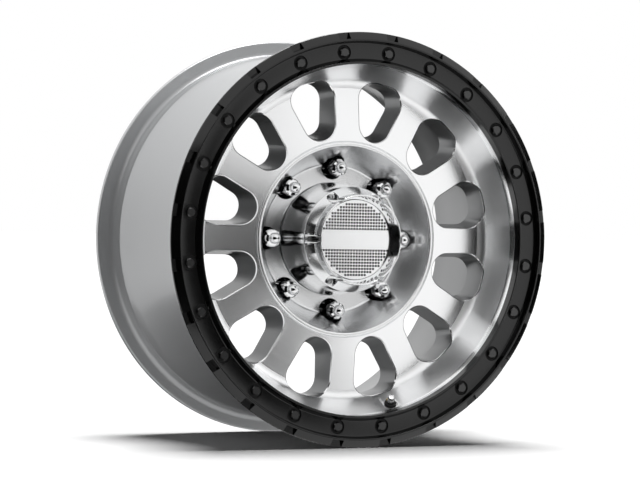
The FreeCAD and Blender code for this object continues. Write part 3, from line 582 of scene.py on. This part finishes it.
def silver_paint(name, low, high, metallic):
    """Satin silver paint with a fine metal flake."""
    finish = Finish(name, Metallic=metallic, Coat_Roughness=0.12)
    flake = finish.noise(2600, 1.0)
    broad = finish.noise(14)
    finish.feed("Base Color", finish.blend(flake, grey(low, 0.03), grey(high, 0.03)))
    finish.feed("Roughness", 0.3 + 0.06 * flake + 0.06 * broad)
    finish.feed("Coat Weight", 0.4 + 0.1 * broad)
    finish.bump(flake, 0.03, GRAIN_DEPTH)
    return finish.material


def polished_metal():
    """Finely turned aluminium of the hub bowl."""
    finish = Finish("polished_aluminium", Metallic=1.0)
    rings = finish.ring_noise(500)
    finish.feed("Base Color", finish.blend(rings, grey(0.84, 0.01), grey(0.9, 0.01)))
    finish.feed("Roughness", 0.22 + 0.06 * rings)
    grooves = (finish.radius() * (2 * math.pi / POLISHED_GROOVE)).sine()
    finish.bump(grooves * 0.5 + rings, 0.12, GROOVE_DEPTH)
    return finish.material


def plating(name, low, high, rough):
    """Bright plate with faint waves."""
    finish = Finish(name, Metallic=1.0)
    waves = finish.noise(60, 1.0)
    fine = finish.noise(900)
    finish.feed("Base Color", finish.blend(fine, grey(low, 0.01), grey(high, 0.01)))
    finish.feed("Roughness", rough + 0.02 * waves + 0.01 * fine)
    finish.bump(waves, 0.04, WAVE_DEPTH)
    return finish.material


def black_coat(name, low, high, rough, ior=1.5):
    """Satin black coat with a slight orange peel."""
    finish = Finish(name, IOR=ior)
    peel = finish.noise(700)
    broad = finish.noise(22)
    finish.feed("Base Color", finish.blend(broad, grey(low), grey(high)))
    finish.feed("Roughness", rough + 0.05 * peel + 0.05 * broad)
    finish.bump(peel, 0.02, GRAIN_DEPTH)
    return finish.material


def brass():
    finish = Finish("brass", Metallic=1.0)
    stain = finish.noise(300)
    finish.feed("Base Color", finish.blend(stain, (0.62, 0.44, 0.17, 1), (0.78, 0.6, 0.28, 1)))
    finish.feed("Roughness", 0.28 + 0.12 * stain)
    return finish.material


TURNED = turned_metal("turned_aluminium", 0.155, 0.05)
SATIN_TURNED = turned_metal("satin_turned_aluminium", 0.28, 0.8)
PAINT = silver_paint("silver_paint", 0.56, 0.62, 0.4)
# A darker copy of the silver paint, as painted shade for the inside of the barrel, the back of the disc and
# the walls of the windows, pockets and holes
PAINTED_SHADE_INSIDE = silver_paint("painted_shade_inside", 0.28, 0.33, 0.5)
POLISHED = polished_metal()
RING_BLACK = black_coat("ring_black", 0.003, 0.005, 0.1, 1.52)
BOLT_BLACK = black_coat("bolt_black", 0.012, 0.016, 0.14, 1.7)
RUBBER = black_coat("rubber", 0.012, 0.018, 0.55)
CAP_PLATE = plating("cap_plate", 0.84, 0.9, 0.09)
NUT_PLATE = plating("nut_plate", 0.8, 0.87, 0.05)
FACE_PLATE = plating("face_plate", 0.92, 0.96, 0.1)
# Near-black plate, as painted shade in the dimples of the cap face
DIMPLE_PAINTED_SHADE = plating("dimple_painted_shade", 0.01, 0.02, 0.35)
# A matt copy of the ring's black, a little darker, as painted shade in the bolt pockets
POCKET_PAINTED_SHADE = black_coat("pocket_painted_shade", 0.002, 0.003, 0.6)
SCREW_STEEL = plating("screw_steel", 0.52, 0.6, 0.22)
VALVE_METAL = plating("valve_metal", 0.28, 0.34, 0.24)
BRASS = brass()

# Wheel casting: its half section, from the ring's seat round the rim, the back and the face
WHEEL_SECTION = [
    (DISH_R, RING_SEAT_Y),
    (FRONT_FLANGE_R, RING_SEAT_Y, EDGE_ROUND),
    (FRONT_FLANGE_R, FRONT_FLANGE_Y, EDGE_ROUND),
    (SEAT_R, FRONT_FLANGE_Y, BEAD_FILLET),
    (HUMP_TOE_R, -HUMP_Y - 2 * HUMP_WIDTH),
    (HUMP_R, -HUMP_Y - HUMP_WIDTH),
    (HUMP_R, -HUMP_Y, HUMP_ROUND),
    (WELL_R, WELL_FRONT_Y, WELL_FILLET),
    (WELL_R, WELL_REAR_Y),
    (RAMP_R, RAMP_Y),
    (HUMP_R, HUMP_Y),
    (HUMP_R, HUMP_Y + HUMP_WIDTH),
    (HUMP_TOE_R, HUMP_Y + 2 * HUMP_WIDTH),
    (SEAT_R, SEAT_Y, BEAD_FILLET),
    (FLANGE_R, SEAT_Y, EDGE_ROUND),
    (FLANGE_R, REAR_Y, REAR_EDGE_ROUND),
    (MOUTH_R, REAR_Y, EDGE_ROUND),
    (RAMP_INSIDE_R + MOUTH_RISE, MOUTH_Y),
    (RAMP_INSIDE_R, RAMP_Y),
    (WELL_INSIDE_R, WELL_REAR_Y),
    (WELL_INSIDE_R, DISC_BACK_Y, DISC_BACK_FILLET),
    (HUB_BACK_R + HUB_FLARE, DISC_BACK_Y, DISC_BACK_FILLET),
    (HUB_BACK_R, 0, HUB_EDGE_ROUND),
    (BORE_R, 0, HUB_EDGE_ROUND),
    (BORE_R, CAP_SEAT_Y),
    (CAP_SEAT_R, CAP_SEAT_Y),
    (CAP_SEAT_R, BOWL_FLOOR_Y + CAP_SEAT_CHAMFER),
    (CAP_SEAT_R + CAP_SEAT_CHAMFER, BOWL_FLOOR_Y),
    (BOWL_FLOOR_R, BOWL_FLOOR_Y, BOWL_FILLET),
    (BOWL_FLOOR_R + BOWL_RUN, HUB_LIP_Y, HUB_LIP_ROUND),
    (HUB_LIP_R, HUB_LIP_Y, HUB_LIP_ROUND),
    (HUB_LIP_R, HUB_LIP_Y + HUB_STEP),
    (HUB_LIP_R + HUB_GROOVE, HUB_LIP_Y + HUB_LIP_RISE),
    (FOOT_R, FOOT_Y, FOOT_FILLET),
    (DISH_R, DISH_WALL_Y),
]
# The inside slot carries the painted shade of the darker silver paint
TURNED_SLOT, PAINT_SLOT, POLISHED_SLOT, SHADE_INSIDE_SLOT, WALL_SLOT = range(5)
WHEEL_FINISHES = (TURNED, PAINT, POLISHED, PAINTED_SHADE_INSIDE, SATIN_TURNED)


def section_level(low, high, *more):
    """A function from radius to level, for the stretch of the wheel's section inside a box of both."""
    stretch = [p for p in rounded(WHEEL_SECTION) if low[0] < p.x < high[0] and low[1] < p.y < high[1]]
    ordered = sorted((p[0], p[1]) for p in (*stretch, *more))

    def level(radius):
        for (r0, y0), (r1, y1) in zip(ordered, ordered[1:]):
            if r0 <= radius <= r1 and r0 < r1:
                return y0 + (y1 - y0) * (radius - r0) / (r1 - r0)
        raise ValueError("radius %.4f is off the section" % radius)
    return level


face_level = section_level((HUB_LIP_R + NEAR, DISH_WALL_Y - SLIGHT), (DISH_R + SLIGHT, FOOT_Y + NEAR),
                           (HUB_LIP_R, HUB_LIP_Y + HUB_LIP_RISE))
back_level = section_level((HUB_BACK_R + NEAR, DISC_BACK_Y - SLIGHT), (WELL_INSIDE_R + SLIGHT, -NEAR))


def is_bowl(face):
    return radial(face) < BOWL_FLOOR_R + BOWL_RUN - NEAR and face.center.y < BOWL_FLOOR_Y + NEAR


def is_turned(face):
    return radial(face) < DISH_R + 2 * NEAR and face.center.y < FOOT_Y + 2 * NEAR


def is_wall(face):
    return WALL_FROM_R < radial(face) < WALL_TO_R and is_turned(face)


def is_outside(face):
    outward = face.center.x * face.normal.x + face.center.z * face.normal.z
    return radial(face) > WELL_R - 0.1 * NEAR and outward > OUTWARD_LEAN * radial(face)


def is_window_front(face):
    return face.center.y < face_level(radial(face)) + WINDOW_EDGE


def window_outline(half, inner, outer, corner):
    """Outline of the gap between two spokes of even width, with x along the gap's middle line."""
    side = math.radians(180 / WINDOWS)
    middle = (inner - half) / (1 - math.sin(side))
    reach = math.sqrt((outer - corner) ** 2 - (half + corner) ** 2)
    along = Vector((math.cos(side), math.sin(side)))
    inward = Vector((math.sin(side), -math.cos(side)))
    centre = along * reach + inward * (half + corner)
    outward = centre.normalized()
    points = arc(Vector((middle, 0)), Vector((inner - middle, 0)), side - math.pi / 2, ROUND_END_STEPS)
    start = points[-1].copy()
    end = centre - inward * corner
    points += [start.lerp(end, k / SIDE_STEPS) for k in range(1, SIDE_STEPS)]
    points += arc(centre, end - centre, -(-inward).angle_signed(outward), CORNER_STEPS)
    points += arc(Vector((0, 0)), outward * outer, -math.atan2(outward.y, outward.x), OUTER_END_STEPS)[1:]
    lower = [Vector((p.x, -p.y)) for p in points[1:-1]]
    return points + lower[::-1]


def cut_round(piece, cutter, place, count):
    """Puts the cutter at its place, repeats it round the wheel axis and cuts the piece with it."""
    moved(cutter, place)
    copies_round(cutter, count)
    boolean(piece, cutter)


def cut_windows(wheel):
    """Drafted gaps between the spokes, with broken edges on both sides of the disc."""
    front = (SPOKE_HALF, WINDOW_INNER, WINDOW_OUTER, WINDOW_CORNER)
    back = (SPOKE_HALF + SPOKE_DRAFT, WINDOW_INNER + WINDOW_BACK_IN, WINDOW_OUTER - WINDOW_BACK_OUT,
            WINDOW_CORNER)

    def ring(sizes, edge, level):
        half, inner, outer, corner = sizes
        outline = window_outline(half - edge, inner - edge, outer + edge, corner + edge)
        return [Vector((p.x, level(p.length), p.y)) for p in outline]

    wide = WINDOW_EDGE + WINDOW_CLEAR
    cutter = lofted("window_cut", [
        ring(front, wide, lambda r: RIDGE_Y),
        ring(front, wide, lambda r: face_level(r) - WINDOW_CLEAR),
        ring(front, 0, lambda r: face_level(r) + WINDOW_EDGE),
        ring(back, 0, lambda r: back_level(r) - WINDOW_EDGE),
        ring(back, wide, lambda r: back_level(r) + WINDOW_CLEAR),
        ring(back, wide, lambda r: CUT_PAST),
    ])
    give_slots(cutter, WHEEL_FINISHES)
    # The window walls take the painted shade, their broken front edges the turned finish
    paint_faces(cutter, SHADE_INSIDE_SLOT, everywhere)
    paint_faces(cutter, TURNED_SLOT, is_window_front)
    cut_round(wheel, cutter, turned(180 / WINDOWS), WINDOWS)


def cut_lug_holes(wheel):
    seat_end = LUG_SEAT_Y - (LUG_MOUTH_R - LUG_HOLE_R) / math.tan(LUG_SEAT_HALF_ANGLE)
    cutter = spun("lug_cut", [
        (0, CUT_PAST), (LUG_HOLE_R, CUT_PAST), (LUG_HOLE_R, LUG_SEAT_Y), (LUG_MOUTH_R, seat_end),
        (LUG_MOUTH_R, RIDGE_Y), (0, RIDGE_Y)], HOLE_STEPS)
    give_slots(cutter, WHEEL_FINISHES)
    paint_faces(cutter, POLISHED_SLOT, everywhere)
    cut_round(wheel, cutter, out_at(LUG_CIRCLE), LUGS)


def cut_relief_pockets(wheel):
    """Long pockets in the mounting face, between the lug holes."""
    cutter = prism("relief_cut", HOLE_STEPS, RELIEF_R, -RELIEF_DEPTH, CUT_PAST)
    for vertex in cutter.data.vertices:
        vertex.co.x += RELIEF_OUTER if vertex.co.x > SLIGHT else RELIEF_INNER
    give_slots(cutter, WHEEL_FINISHES)
    # The relief pockets take the painted shade
    paint_faces(cutter, SHADE_INSIDE_SLOT, everywhere)
    cut_round(wheel, cutter, turned(180 / LUGS), LUGS)


def cut_bolt_holes(wheel):
    cutter = prism("thread_cut", SHANK_STEPS, BOLT_R + FIT, RIDGE_Y, bolt_high.y + THREAD_PAST)
    give_slots(cutter, WHEEL_FINISHES)
    # The bolt holes take the painted shade
    paint_faces(cutter, SHADE_INSIDE_SLOT, everywhere)
    cut_round(wheel, cutter, out_at(BOLT_CIRCLE, 180 / RING_BOLTS), RING_BOLTS)


def at_valve():
    """Turns the wheel axis into the valve's own axis, at the end of its tube."""
    mount = next(m for m in frame["record"]["mounts"] if m["name"] == "valve_end")
    lean = Vector((0, 1, 0)).rotation_difference(Vector(mount["axis"]).normalized())
    return Matrix.Translation(Vector(mount["pos_m"])) @ lean.to_matrix().to_4x4()


def cut_valve_hole(wheel):
    neck_r = STEM_NECK_R + FIT
    cutter = spun("valve_cut", [
        (0, STEM_HEAD - VALVE_POCKET), (VALVE_POCKET_R, STEM_HEAD - VALVE_POCKET),
        (VALVE_POCKET_R, STEM_SEAT), (neck_r, STEM_SEAT), (neck_r, STEM_MOUTH),
        (VALVE_POCKET_R, STEM_MOUTH), (VALVE_POCKET_R, STEM_END), (0, STEM_END)], HOLE_STEPS)
    give_slots(cutter, WHEEL_FINISHES)
    # The valve hole takes the painted shade
    paint_faces(cutter, SHADE_INSIDE_SLOT, everywhere)
    boolean(wheel, moved(cutter, at_valve()))


def wheel_casting():
    wheel = spun("wheel_casting", WHEEL_SECTION)
    give_slots(wheel, WHEEL_FINISHES)
    # Every face starts in the painted shade; the outside, the turned face, its wall and the bowl then take
    # their own finishes
    paint_faces(wheel, SHADE_INSIDE_SLOT, everywhere)
    paint_faces(wheel, PAINT_SLOT, is_outside)
    paint_faces(wheel, TURNED_SLOT, is_turned)
    paint_faces(wheel, WALL_SLOT, is_wall)
    paint_faces(wheel, POLISHED_SLOT, is_bowl)
    cut_windows(wheel)
    cut_lug_holes(wheel)
    cut_relief_pockets(wheel)
    cut_bolt_holes(wheel)
    cut_valve_hole(wheel)
    dress(wheel, "wheel", "cast_wheel", *WHEEL_FINISHES)


def lip_ring():
    """Black ring with a channel between two ridges, bolt pockets in the channel and notches in its edge."""
    ring = spun("lip_ring", [
        (DISH_R, RING_SEAT_Y),
        (DISH_R, RIDGE_Y, INNER_CREST_ROUND),
        (RIDGE_R, RIDGE_Y, INNER_CREST_ROUND),
        (CHANNEL_INNER, CHANNEL_Y, CHANNEL_ROUND),
        (CHANNEL_OUTER, CHANNEL_Y, CHANNEL_ROUND),
        (RIDGE_OUTER_IN, RIDGE_Y, CREST_ROUND_IN),
        (RIDGE_OUTER_OUT, RIDGE_Y, CREST_ROUND_OUT),
        (RING_R, RING_EDGE_Y, RING_EDGE_ROUND_FRONT),
        (RING_R, RING_EDGE_Y + RING_EDGE, RING_EDGE_ROUND_BACK),
        (FRONT_FLANGE_R, RING_SEAT_Y),
    ])
    pocket_top_r = POCKET_R + POCKET_CHAMFER
    past_ridge = RIDGE_Y - CUT_PAST
    pocket_cut = spun("pocket_cut", [
        (0, POCKET_Y), (POCKET_R, POCKET_Y), (POCKET_R, POCKET_RIM_Y),
        (pocket_top_r, POCKET_RIM_Y - POCKET_CHAMFER), (pocket_top_r, past_ridge), (0, past_ridge)],
        HOLE_STEPS)
    give_slots(ring, (RING_BLACK, POCKET_PAINTED_SHADE))
    give_slots(pocket_cut, (RING_BLACK, POCKET_PAINTED_SHADE))
    # The floor and wall of each bolt pocket take the painted shade
    paint_faces(pocket_cut, PAINTED_SHADE_SLOT, lambda face: face.center.y > POCKET_RIM_Y)
    at_bolt = out_at(BOLT_CIRCLE, 180 / RING_BOLTS)
    cut_round(ring, pocket_cut, at_bolt, RING_BOLTS)
    half = NOTCH_WIDTH / 2
    past_edge = RING_R + CUT_PAST
    notch = ((NOTCH_START, -half), (past_edge, -half), (past_edge, half), (NOTCH_START, half))
    notch_cut = lofted("notch_cut", [[Vector((x, y, z)) for x, z in notch] for y in (NOTCH_Y, past_ridge)])
    cut_round(ring, notch_cut, turned(180 / RING_BOLTS), RING_BOLTS)
    hole_cut = prism("hole_cut", SMALL_HOLE_STEPS, RING_HOLE_R, RIDGE_Y, RING_SEAT_Y + CUT_PAST)
    cut_round(ring, hole_cut, at_bolt, RING_BOLTS)
    dress(ring, "bead_ring", "black_ring", RING_BLACK, POCKET_PAINTED_SHADE)


def ring_bolts():
    """Hexagon heads with their corners turned off, on plain shanks."""
    top_y = bolt_low.y
    bolts = spun("ring_bolt_set", [
        (0, top_y), (BOLT_TOP_R, top_y), (BOLT_FLATS / 2, top_y + BOLT_CHAMFER),
        (BOLT_HEAD_R, top_y + BOLT_CORNER_DROP), (BOLT_HEAD_R, POCKET_Y), (0, POCKET_Y)], HOLE_STEPS)
    boolean(bolts, prism("hexagon", HEXAGON, BOLT_HEAD_R, top_y - CUT_PAST, POCKET_Y + CUT_PAST), "INTERSECT")
    boolean(bolts, prism("shank", SHANK_STEPS, BOLT_R, POCKET_Y - SHANK_OVERLAP, bolt_high.y), "UNION")
    moved(bolts, out_at(BOLT_CIRCLE, 180 / RING_BOLTS))
    copies_round(bolts, RING_BOLTS)
    dress(bolts, "ring_bolts", "black_bolt", BOLT_BLACK)


def lug_nuts():
    """Closed nuts with a cone at the nose, a fluted body, a neck and a ball end."""
    nose_y = nut_high.y
    tip_y = nut_low.y
    bore_y = nose_y - NUT_BORE_DEPTH
    ball = arc(Vector((0, tip_y + NUT_TIP_R)), Vector((NUT_TIP_R, 0)), -math.pi / 2, NUT_BALL_STEPS)
    nuts = spun("lug_nut_set", [
        (0, bore_y), (NUT_BORE_R, bore_y), (NUT_BORE_R, nose_y), (NUT_NOSE_R, nose_y),
        (NUT_R, nose_y - NUT_CONE),
        (NUT_R, DRIVE_Y, DRIVE_ROUND),
        (SHOULDER_R, SHOULDER_Y, SHOULDER_ROUND),
        (NECK_R, NECK_Y, NECK_ROUND),
        (NECK_R, NECK_END_Y),
        *ball], NUT_STEPS)
    flute_cut = prism("flute_cut", SMALL_HOLE_STEPS, FLUTE_R, tip_y - CUT_PAST, nose_y - FLUTE_STOP)
    cut_round(nuts, flute_cut, out_at(FLUTE_CIRCLE, FLUTE_TURN), FLUTES)
    moved(nuts, out_at(LUG_CIRCLE))
    copies_round(nuts, LUGS)
    dress(nuts, "lug_nuts", "plated_nut", NUT_PLATE)


def cap_skirt():
    """Hollow skirt of the cap, flared in a long arc down to the hub."""
    centre = Vector((CAP_R + CAP_FLARE_R, FLARE_TOP_Y))
    sweep = math.asin((FLARE_FOOT_Y - FLARE_TOP_Y) / CAP_FLARE_R)
    outer = arc(centre, Vector((-CAP_FLARE_R, 0)), -sweep, FLARE_STEPS)
    inner = arc(centre, Vector((-CAP_FLARE_R - CAP_WALL, 0)), -sweep, FLARE_STEPS)
    inside_r = CAP_SKIRT_R - SKIRT_WALL
    ledge_y = CAP_SPLIT_Y + CAP_LEDGE
    skirt = spun("cap_skirt", [
        *outer[:-1],
        (CAP_SKIRT_R, FLARE_FOOT_Y), (CAP_SKIRT_R, base_high.y),
        (inside_r, base_high.y), (inside_r, FLARE_FOOT_Y),
        *[p for p in inner[::-1] if p.x < inside_r],
        (CAP_R - CAP_WALL, ledge_y), (CAP_BORE_R, ledge_y), (CAP_BORE_R, CAP_SPLIT_Y),
        (CAP_R, CAP_SPLIT_Y, CAP_SPLIT_ROUND)], CAP_STEPS)
    dress(skirt, "cap_base", "plated_cap", CAP_PLATE)


def cap_front():
    """Front drum of the cap, with a recess for its face and a spot-face for each screw."""
    recess_y = face_high.y
    cover = spun("cap_front", [
        (CAP_R, CAP_SPLIT_Y, CAP_SPLIT_ROUND),
        (CAP_R, CAP_SPLIT_Y - CAP_EDGE, CAP_EDGE_ROUND),
        (CAP_NOSE_R, CAP_SHOULDER_Y, CAP_EDGE_ROUND),
        (CAP_NOSE_R, cover_low.y, CAP_NOSE_ROUND),
        (CAP_NOSE_R - CAP_LIP, cover_low.y, CAP_LIP_ROUND),
        (RECESS_R, face_low.y), (RECESS_R, recess_y), (COVER_BORE_R, recess_y),
        (COVER_BORE_R, recess_y + COVER_LEDGE), (CAP_BORE_R, CAP_SPLIT_Y)], CAP_STEPS)
    spot_cut = prism("spot_cut", HOLE_STEPS, SPOT_R, cover_low.y - CUT_PAST, SPOT_Y)
    cut_round(cover, spot_cut, out_at(SCREW_CIRCLE), SCREWS)
    dress(cover, "cap_cover", "plated_cap", CAP_PLATE)


def cap_disc():
    """A round plate whose front is a grid of squares."""
    clear_selection()
    bpy.ops.mesh.primitive_grid_add(x_subdivisions=DIMPLE_ROWS, y_subdivisions=DIMPLE_ROWS,
                                    size=DIMPLE_PITCH * DIMPLE_ROWS)
    disc = bpy.context.object
    disc.name = "cap_dimples"
    moved(disc, Matrix.Translation((0, face_low.y, 0)) @ Matrix.Rotation(math.pi / 2, 4, "X"))
    with editing(disc, "EDGE") as mesh:
        for edge in mesh.edges:
            edge.select_set(edge.is_boundary)
        bmesh.update_edit_mesh(disc.data)
        bpy.ops.mesh.extrude_region_move(TRANSFORM_OT_translate={"value": (0, face_high.y - face_low.y, 0)})
        bpy.ops.mesh.edge_face_add()
    edge = prism("disc_edge", CAP_STEPS, CAP_BORE_R, face_low.y - CUT_PAST, face_high.y + CUT_PAST)
    boolean(disc, edge, "INTERSECT")
    close_mesh(disc)
    return disc


def takes_dimple(face):
    """Whether a face in edit mode is a whole square of the front, off the plain band and the edge."""
    middle = face.calc_center_median()
    away = max(math.hypot(v.co.x, v.co.z) for v in face.verts)
    in_front = abs(middle.y - face_low.y) < 2 * WELD
    return in_front and abs(middle.z) >= BAND_HALF and away < CAP_BORE_R - PLAIN_EDGE and len(face.verts) == 4


# The floors and sloped sides of the dimples, which take the painted shade
def is_dimple(face):
    between = face_low.y + DIMPLE_PAINTED_SHADE_FROM < face.center.y < face_high.y - DIMPLE_PAINTED_SHADE_FROM
    return between and radial(face) < CAP_BORE_R - NEAR


def cap_face():
    """Disc in the cap's recess: rows of square dimples above and below a plain band, the dimples in painted
    shade.
    """
    disc = cap_disc()
    with editing(disc) as mesh:
        for face in mesh.faces:
            face.select_set(takes_dimple(face))
        bmesh.update_edit_mesh(disc.data)
        bpy.ops.mesh.inset(thickness=DIMPLE_RIB, use_individual=True)
        bpy.ops.mesh.inset(thickness=DIMPLE_SLOPE, depth=-DIMPLE_DEPTH, use_individual=True)
    close_mesh(disc)
    # The dimples take the painted shade
    paint_faces(disc, PAINTED_SHADE_SLOT, is_dimple)
    dress(disc, "cap_face", "dimpled_face", FACE_PLATE, DIMPLE_PAINTED_SHADE)


def cap_screws():
    top_y = screw_low.y
    screws = spun("cap_screw_set", [
        (0, top_y), (SCREW_HEAD_R, top_y, SCREW_HEAD_ROUND), (SCREW_HEAD_R, SPOT_Y), (SCREW_R, SPOT_Y),
        (SCREW_R, screw_high.y), (0, screw_high.y)], SCREW_STEPS)
    boolean(screws, prism("socket", HEXAGON, SOCKET_R, top_y - CUT_PAST, top_y + SOCKET_DEPTH))
    moved(screws, out_at(SCREW_CIRCLE))
    copies_round(screws, SCREWS)
    dress(screws, "cap_screws", "steel_screw", SCREW_STEEL)


def valve_body():
    """Flared rubber body of the valve, with a groove that holds the wall of the rim."""
    end_y = STEM_END + STEM_GAP
    stem = spun("valve_body", [
        (STEM_BORE_R, STEM_HEAD), (STEM_HEAD_R, STEM_HEAD, STEM_HEAD_ROUND), (STEM_HEAD_R, STEM_SEAT),
        (STEM_NECK_R, STEM_SEAT), (STEM_NECK_R, STEM_MOUTH), (STEM_FLARE_R, STEM_MOUTH, STEM_ROUND),
        (STEM_END_R, end_y, STEM_ROUND), (STEM_BORE_R, end_y)], HOLE_STEPS)
    moved(stem, at_valve())
    dress(stem, "valve_stem", "valve_rubber", RUBBER)


def valve_cap():
    top = VALVE_CAP_TOP
    cap = spun("valve_ribbed_cap", [
        (VALVE_CAP_BORE_R, STEM_END),
        (VALVE_CAP_R, STEM_END, VALVE_CAP_FOOT_ROUND),
        (VALVE_CAP_R, top - VALVE_CAP_CONE, VALVE_CAP_SIDE_ROUND),
        (VALVE_CAP_TOP_R, top, VALVE_CAP_TOP_ROUND),
        (0, top), (0, top - VALVE_CAP_CLOSED), (VALVE_CAP_BORE_R, top - VALVE_CAP_CLOSED)],
        VALVE_CAP_STEPS)
    rib_cut = prism("rib_cut", RIB_STEPS, RIB_R, RIB_START, RIB_END)
    cut_round(cap, rib_cut, out_at(RIB_CIRCLE), RIBS)
    moved(cap, at_valve())
    dress(cap, "valve_cap", "valve_metal", VALVE_METAL)


def valve_brass():
    """The tube and the core of the valve stay as they are, in brass."""
    for name in ("valve_tube", "valve_core"):
        node = frame["nodes"][name]
        node.data.materials.clear()
        node.data.materials.append(BRASS)


wheel_casting()
lip_ring()
ring_bolts()
lug_nuts()
cap_skirt()
cap_front()
cap_face()
cap_screws()
valve_body()
valve_cap()
valve_brass()

# Studio: white floor and sky, and far dark ovals that only reflections see
SKY_DIFFUSE = 0.05
FLOOR_SIZE = 60
FLOOR_SEEN = 1.15
FLAG_DISTANCE = 20
FLAG_STEPS = 96
LAMP_DISTANCE = 2.6
TOP_LEVEL = 0.95
TOP_SPREAD = math.radians(32)
TOP_LEAN = (math.radians(-7), math.radians(4), 0)


def direction(azimuth, elevation):
    """Unit vector away from the wheel; degrees, azimuth from -Y towards +X."""
    turn, rise = math.radians(azimuth), math.radians(elevation)
    return Vector((math.sin(turn) * math.cos(rise), -math.cos(turn) * math.cos(rise), math.sin(rise)))


def add_object(name, data):
    obj = bpy.data.objects.new(name, data)
    bpy.context.collection.objects.link(obj)
    return obj


def studio_sky():
    """White to the camera and to reflections, dim once light has left a matt surface."""
    world = bpy.data.worlds.new("studio")
    bpy.context.scene.world = world
    world.use_nodes = True
    world.cycles.sampling_method = "NONE"
    tree = world.node_tree
    sky = tree.nodes["Background"]
    sky.inputs["Color"].default_value = (1, 1, 1, 1)
    path = tree.nodes.new("ShaderNodeLightPath")
    dim = tree.nodes.new("ShaderNodeMath")
    dim.operation = "MULTIPLY_ADD"
    dim.use_clamp = True
    dim.inputs[1].default_value = SKY_DIFFUSE - 1
    dim.inputs[2].default_value = 1
    tree.links.new(path.outputs["Diffuse Depth"], dim.inputs[0])
    tree.links.new(dim.outputs[0], sky.inputs["Strength"])


def studio_floor():
    """White to the camera and darker to the light that it throws back; reflections don't see it."""
    clear_selection()
    bpy.ops.mesh.primitive_plane_add(size=FLOOR_SIZE, location=(0, 0, cad_box[0][2]))
    floor = bpy.context.object
    floor.name = "floor"
    finish = Finish("floor_white", Roughness=0.9, Specular_IOR_Level=0.0)
    seen = finish.node("ShaderNodeLightPath", output="Is Camera Ray")
    shade = finish.blend(finish.noise(3), grey(0.4), grey(0.42))
    finish.feed("Base Color", finish.blend(seen, shade, grey(FLOOR_SEEN)))
    floor.data.materials.append(finish.material)
    floor.visible_glossy = False


def flag(name, azimuth, elevation, half_width, half_height, shade):
    """A far dark oval that only reflections see, its place and half sizes in degrees."""
    clear_selection()
    bpy.ops.mesh.primitive_circle_add(vertices=FLAG_STEPS, radius=1, fill_type="TRIFAN")
    panel = bpy.context.object
    panel.name = name
    for vertex in panel.data.vertices:
        across, up = half_width * vertex.co.x, half_height * vertex.co.y
        vertex.co = FLAG_DISTANCE * direction(azimuth + across, elevation + up)
    finish = Finish(name + "_cloth", Roughness=1.0, Specular_IOR_Level=0.0)
    finish.feed("Base Color", finish.blend(finish.noise(5), grey(shade * 0.9), grey(shade)))
    panel.data.materials.append(finish.material)
    panel.visible_camera = False
    panel.visible_diffuse = False
    panel.visible_shadow = False
    panel.visible_transmission = False


def lamp(name, azimuth, elevation, width, height, power):
    """A soft box aimed at the wheel from a direction in degrees."""
    data = bpy.data.lights.new(name, "AREA")
    data.shape = "RECTANGLE"
    data.size = width
    data.size_y = height
    data.energy = power
    box = add_object(name, data)
    box.location = LAMP_DISTANCE * direction(azimuth, elevation)
    box.rotation_euler = (-box.location).to_track_quat("-Z", "Y").to_euler()
    return box


def top_light():
    """A wide, even light from above, which makes the shadow on the floor."""
    data = bpy.data.lights.new("top_light", "SUN")
    data.energy = TOP_LEVEL * math.pi
    data.angle = TOP_SPREAD
    add_object("top_light", data).rotation_euler = TOP_LEAN


studio_sky()
studio_floor()
flag("dark_front", -50, 0, 66, 28, 0.02)
flag("dark_side", 20, -6, 5, 10, 0.02)
flag("dark_right", 82, 0, 26, 24, 0.02)
flag("dark_behind", 180, -40, 45, 27, 0.05)
lamp("left_box", -80, -2, 1.6, 0.25, 6).visible_glossy = False
lamp("right_strip", 72, 5, 0.3, 2.0, 10).visible_diffuse = False
top_light()

# Camera at the photo's place
AIM = Vector((-0.05501, -0.12045, -0.00073))
AZIMUTH = -25.186
ELEVATION = 0.483
ROLL = math.radians(1.033)
DISTANCE = 3.0005
LENS = 150.065
SENSOR = 36
camera_data = bpy.data.cameras.new("camera")
camera_data.lens = LENS
camera_data.sensor_width = SENSOR
camera = add_object("camera", camera_data)
away = direction(AZIMUTH, ELEVATION)
camera.location = AIM + away * DISTANCE
camera.rotation_mode = "QUATERNION"
camera.rotation_quaternion = (-away).to_track_quat("-Z", "Y") @ Quaternion((0, 0, 1), ROLL)
bpy.context.scene.camera = camera
bpy.context.scene.view_settings.view_transform = "Standard"
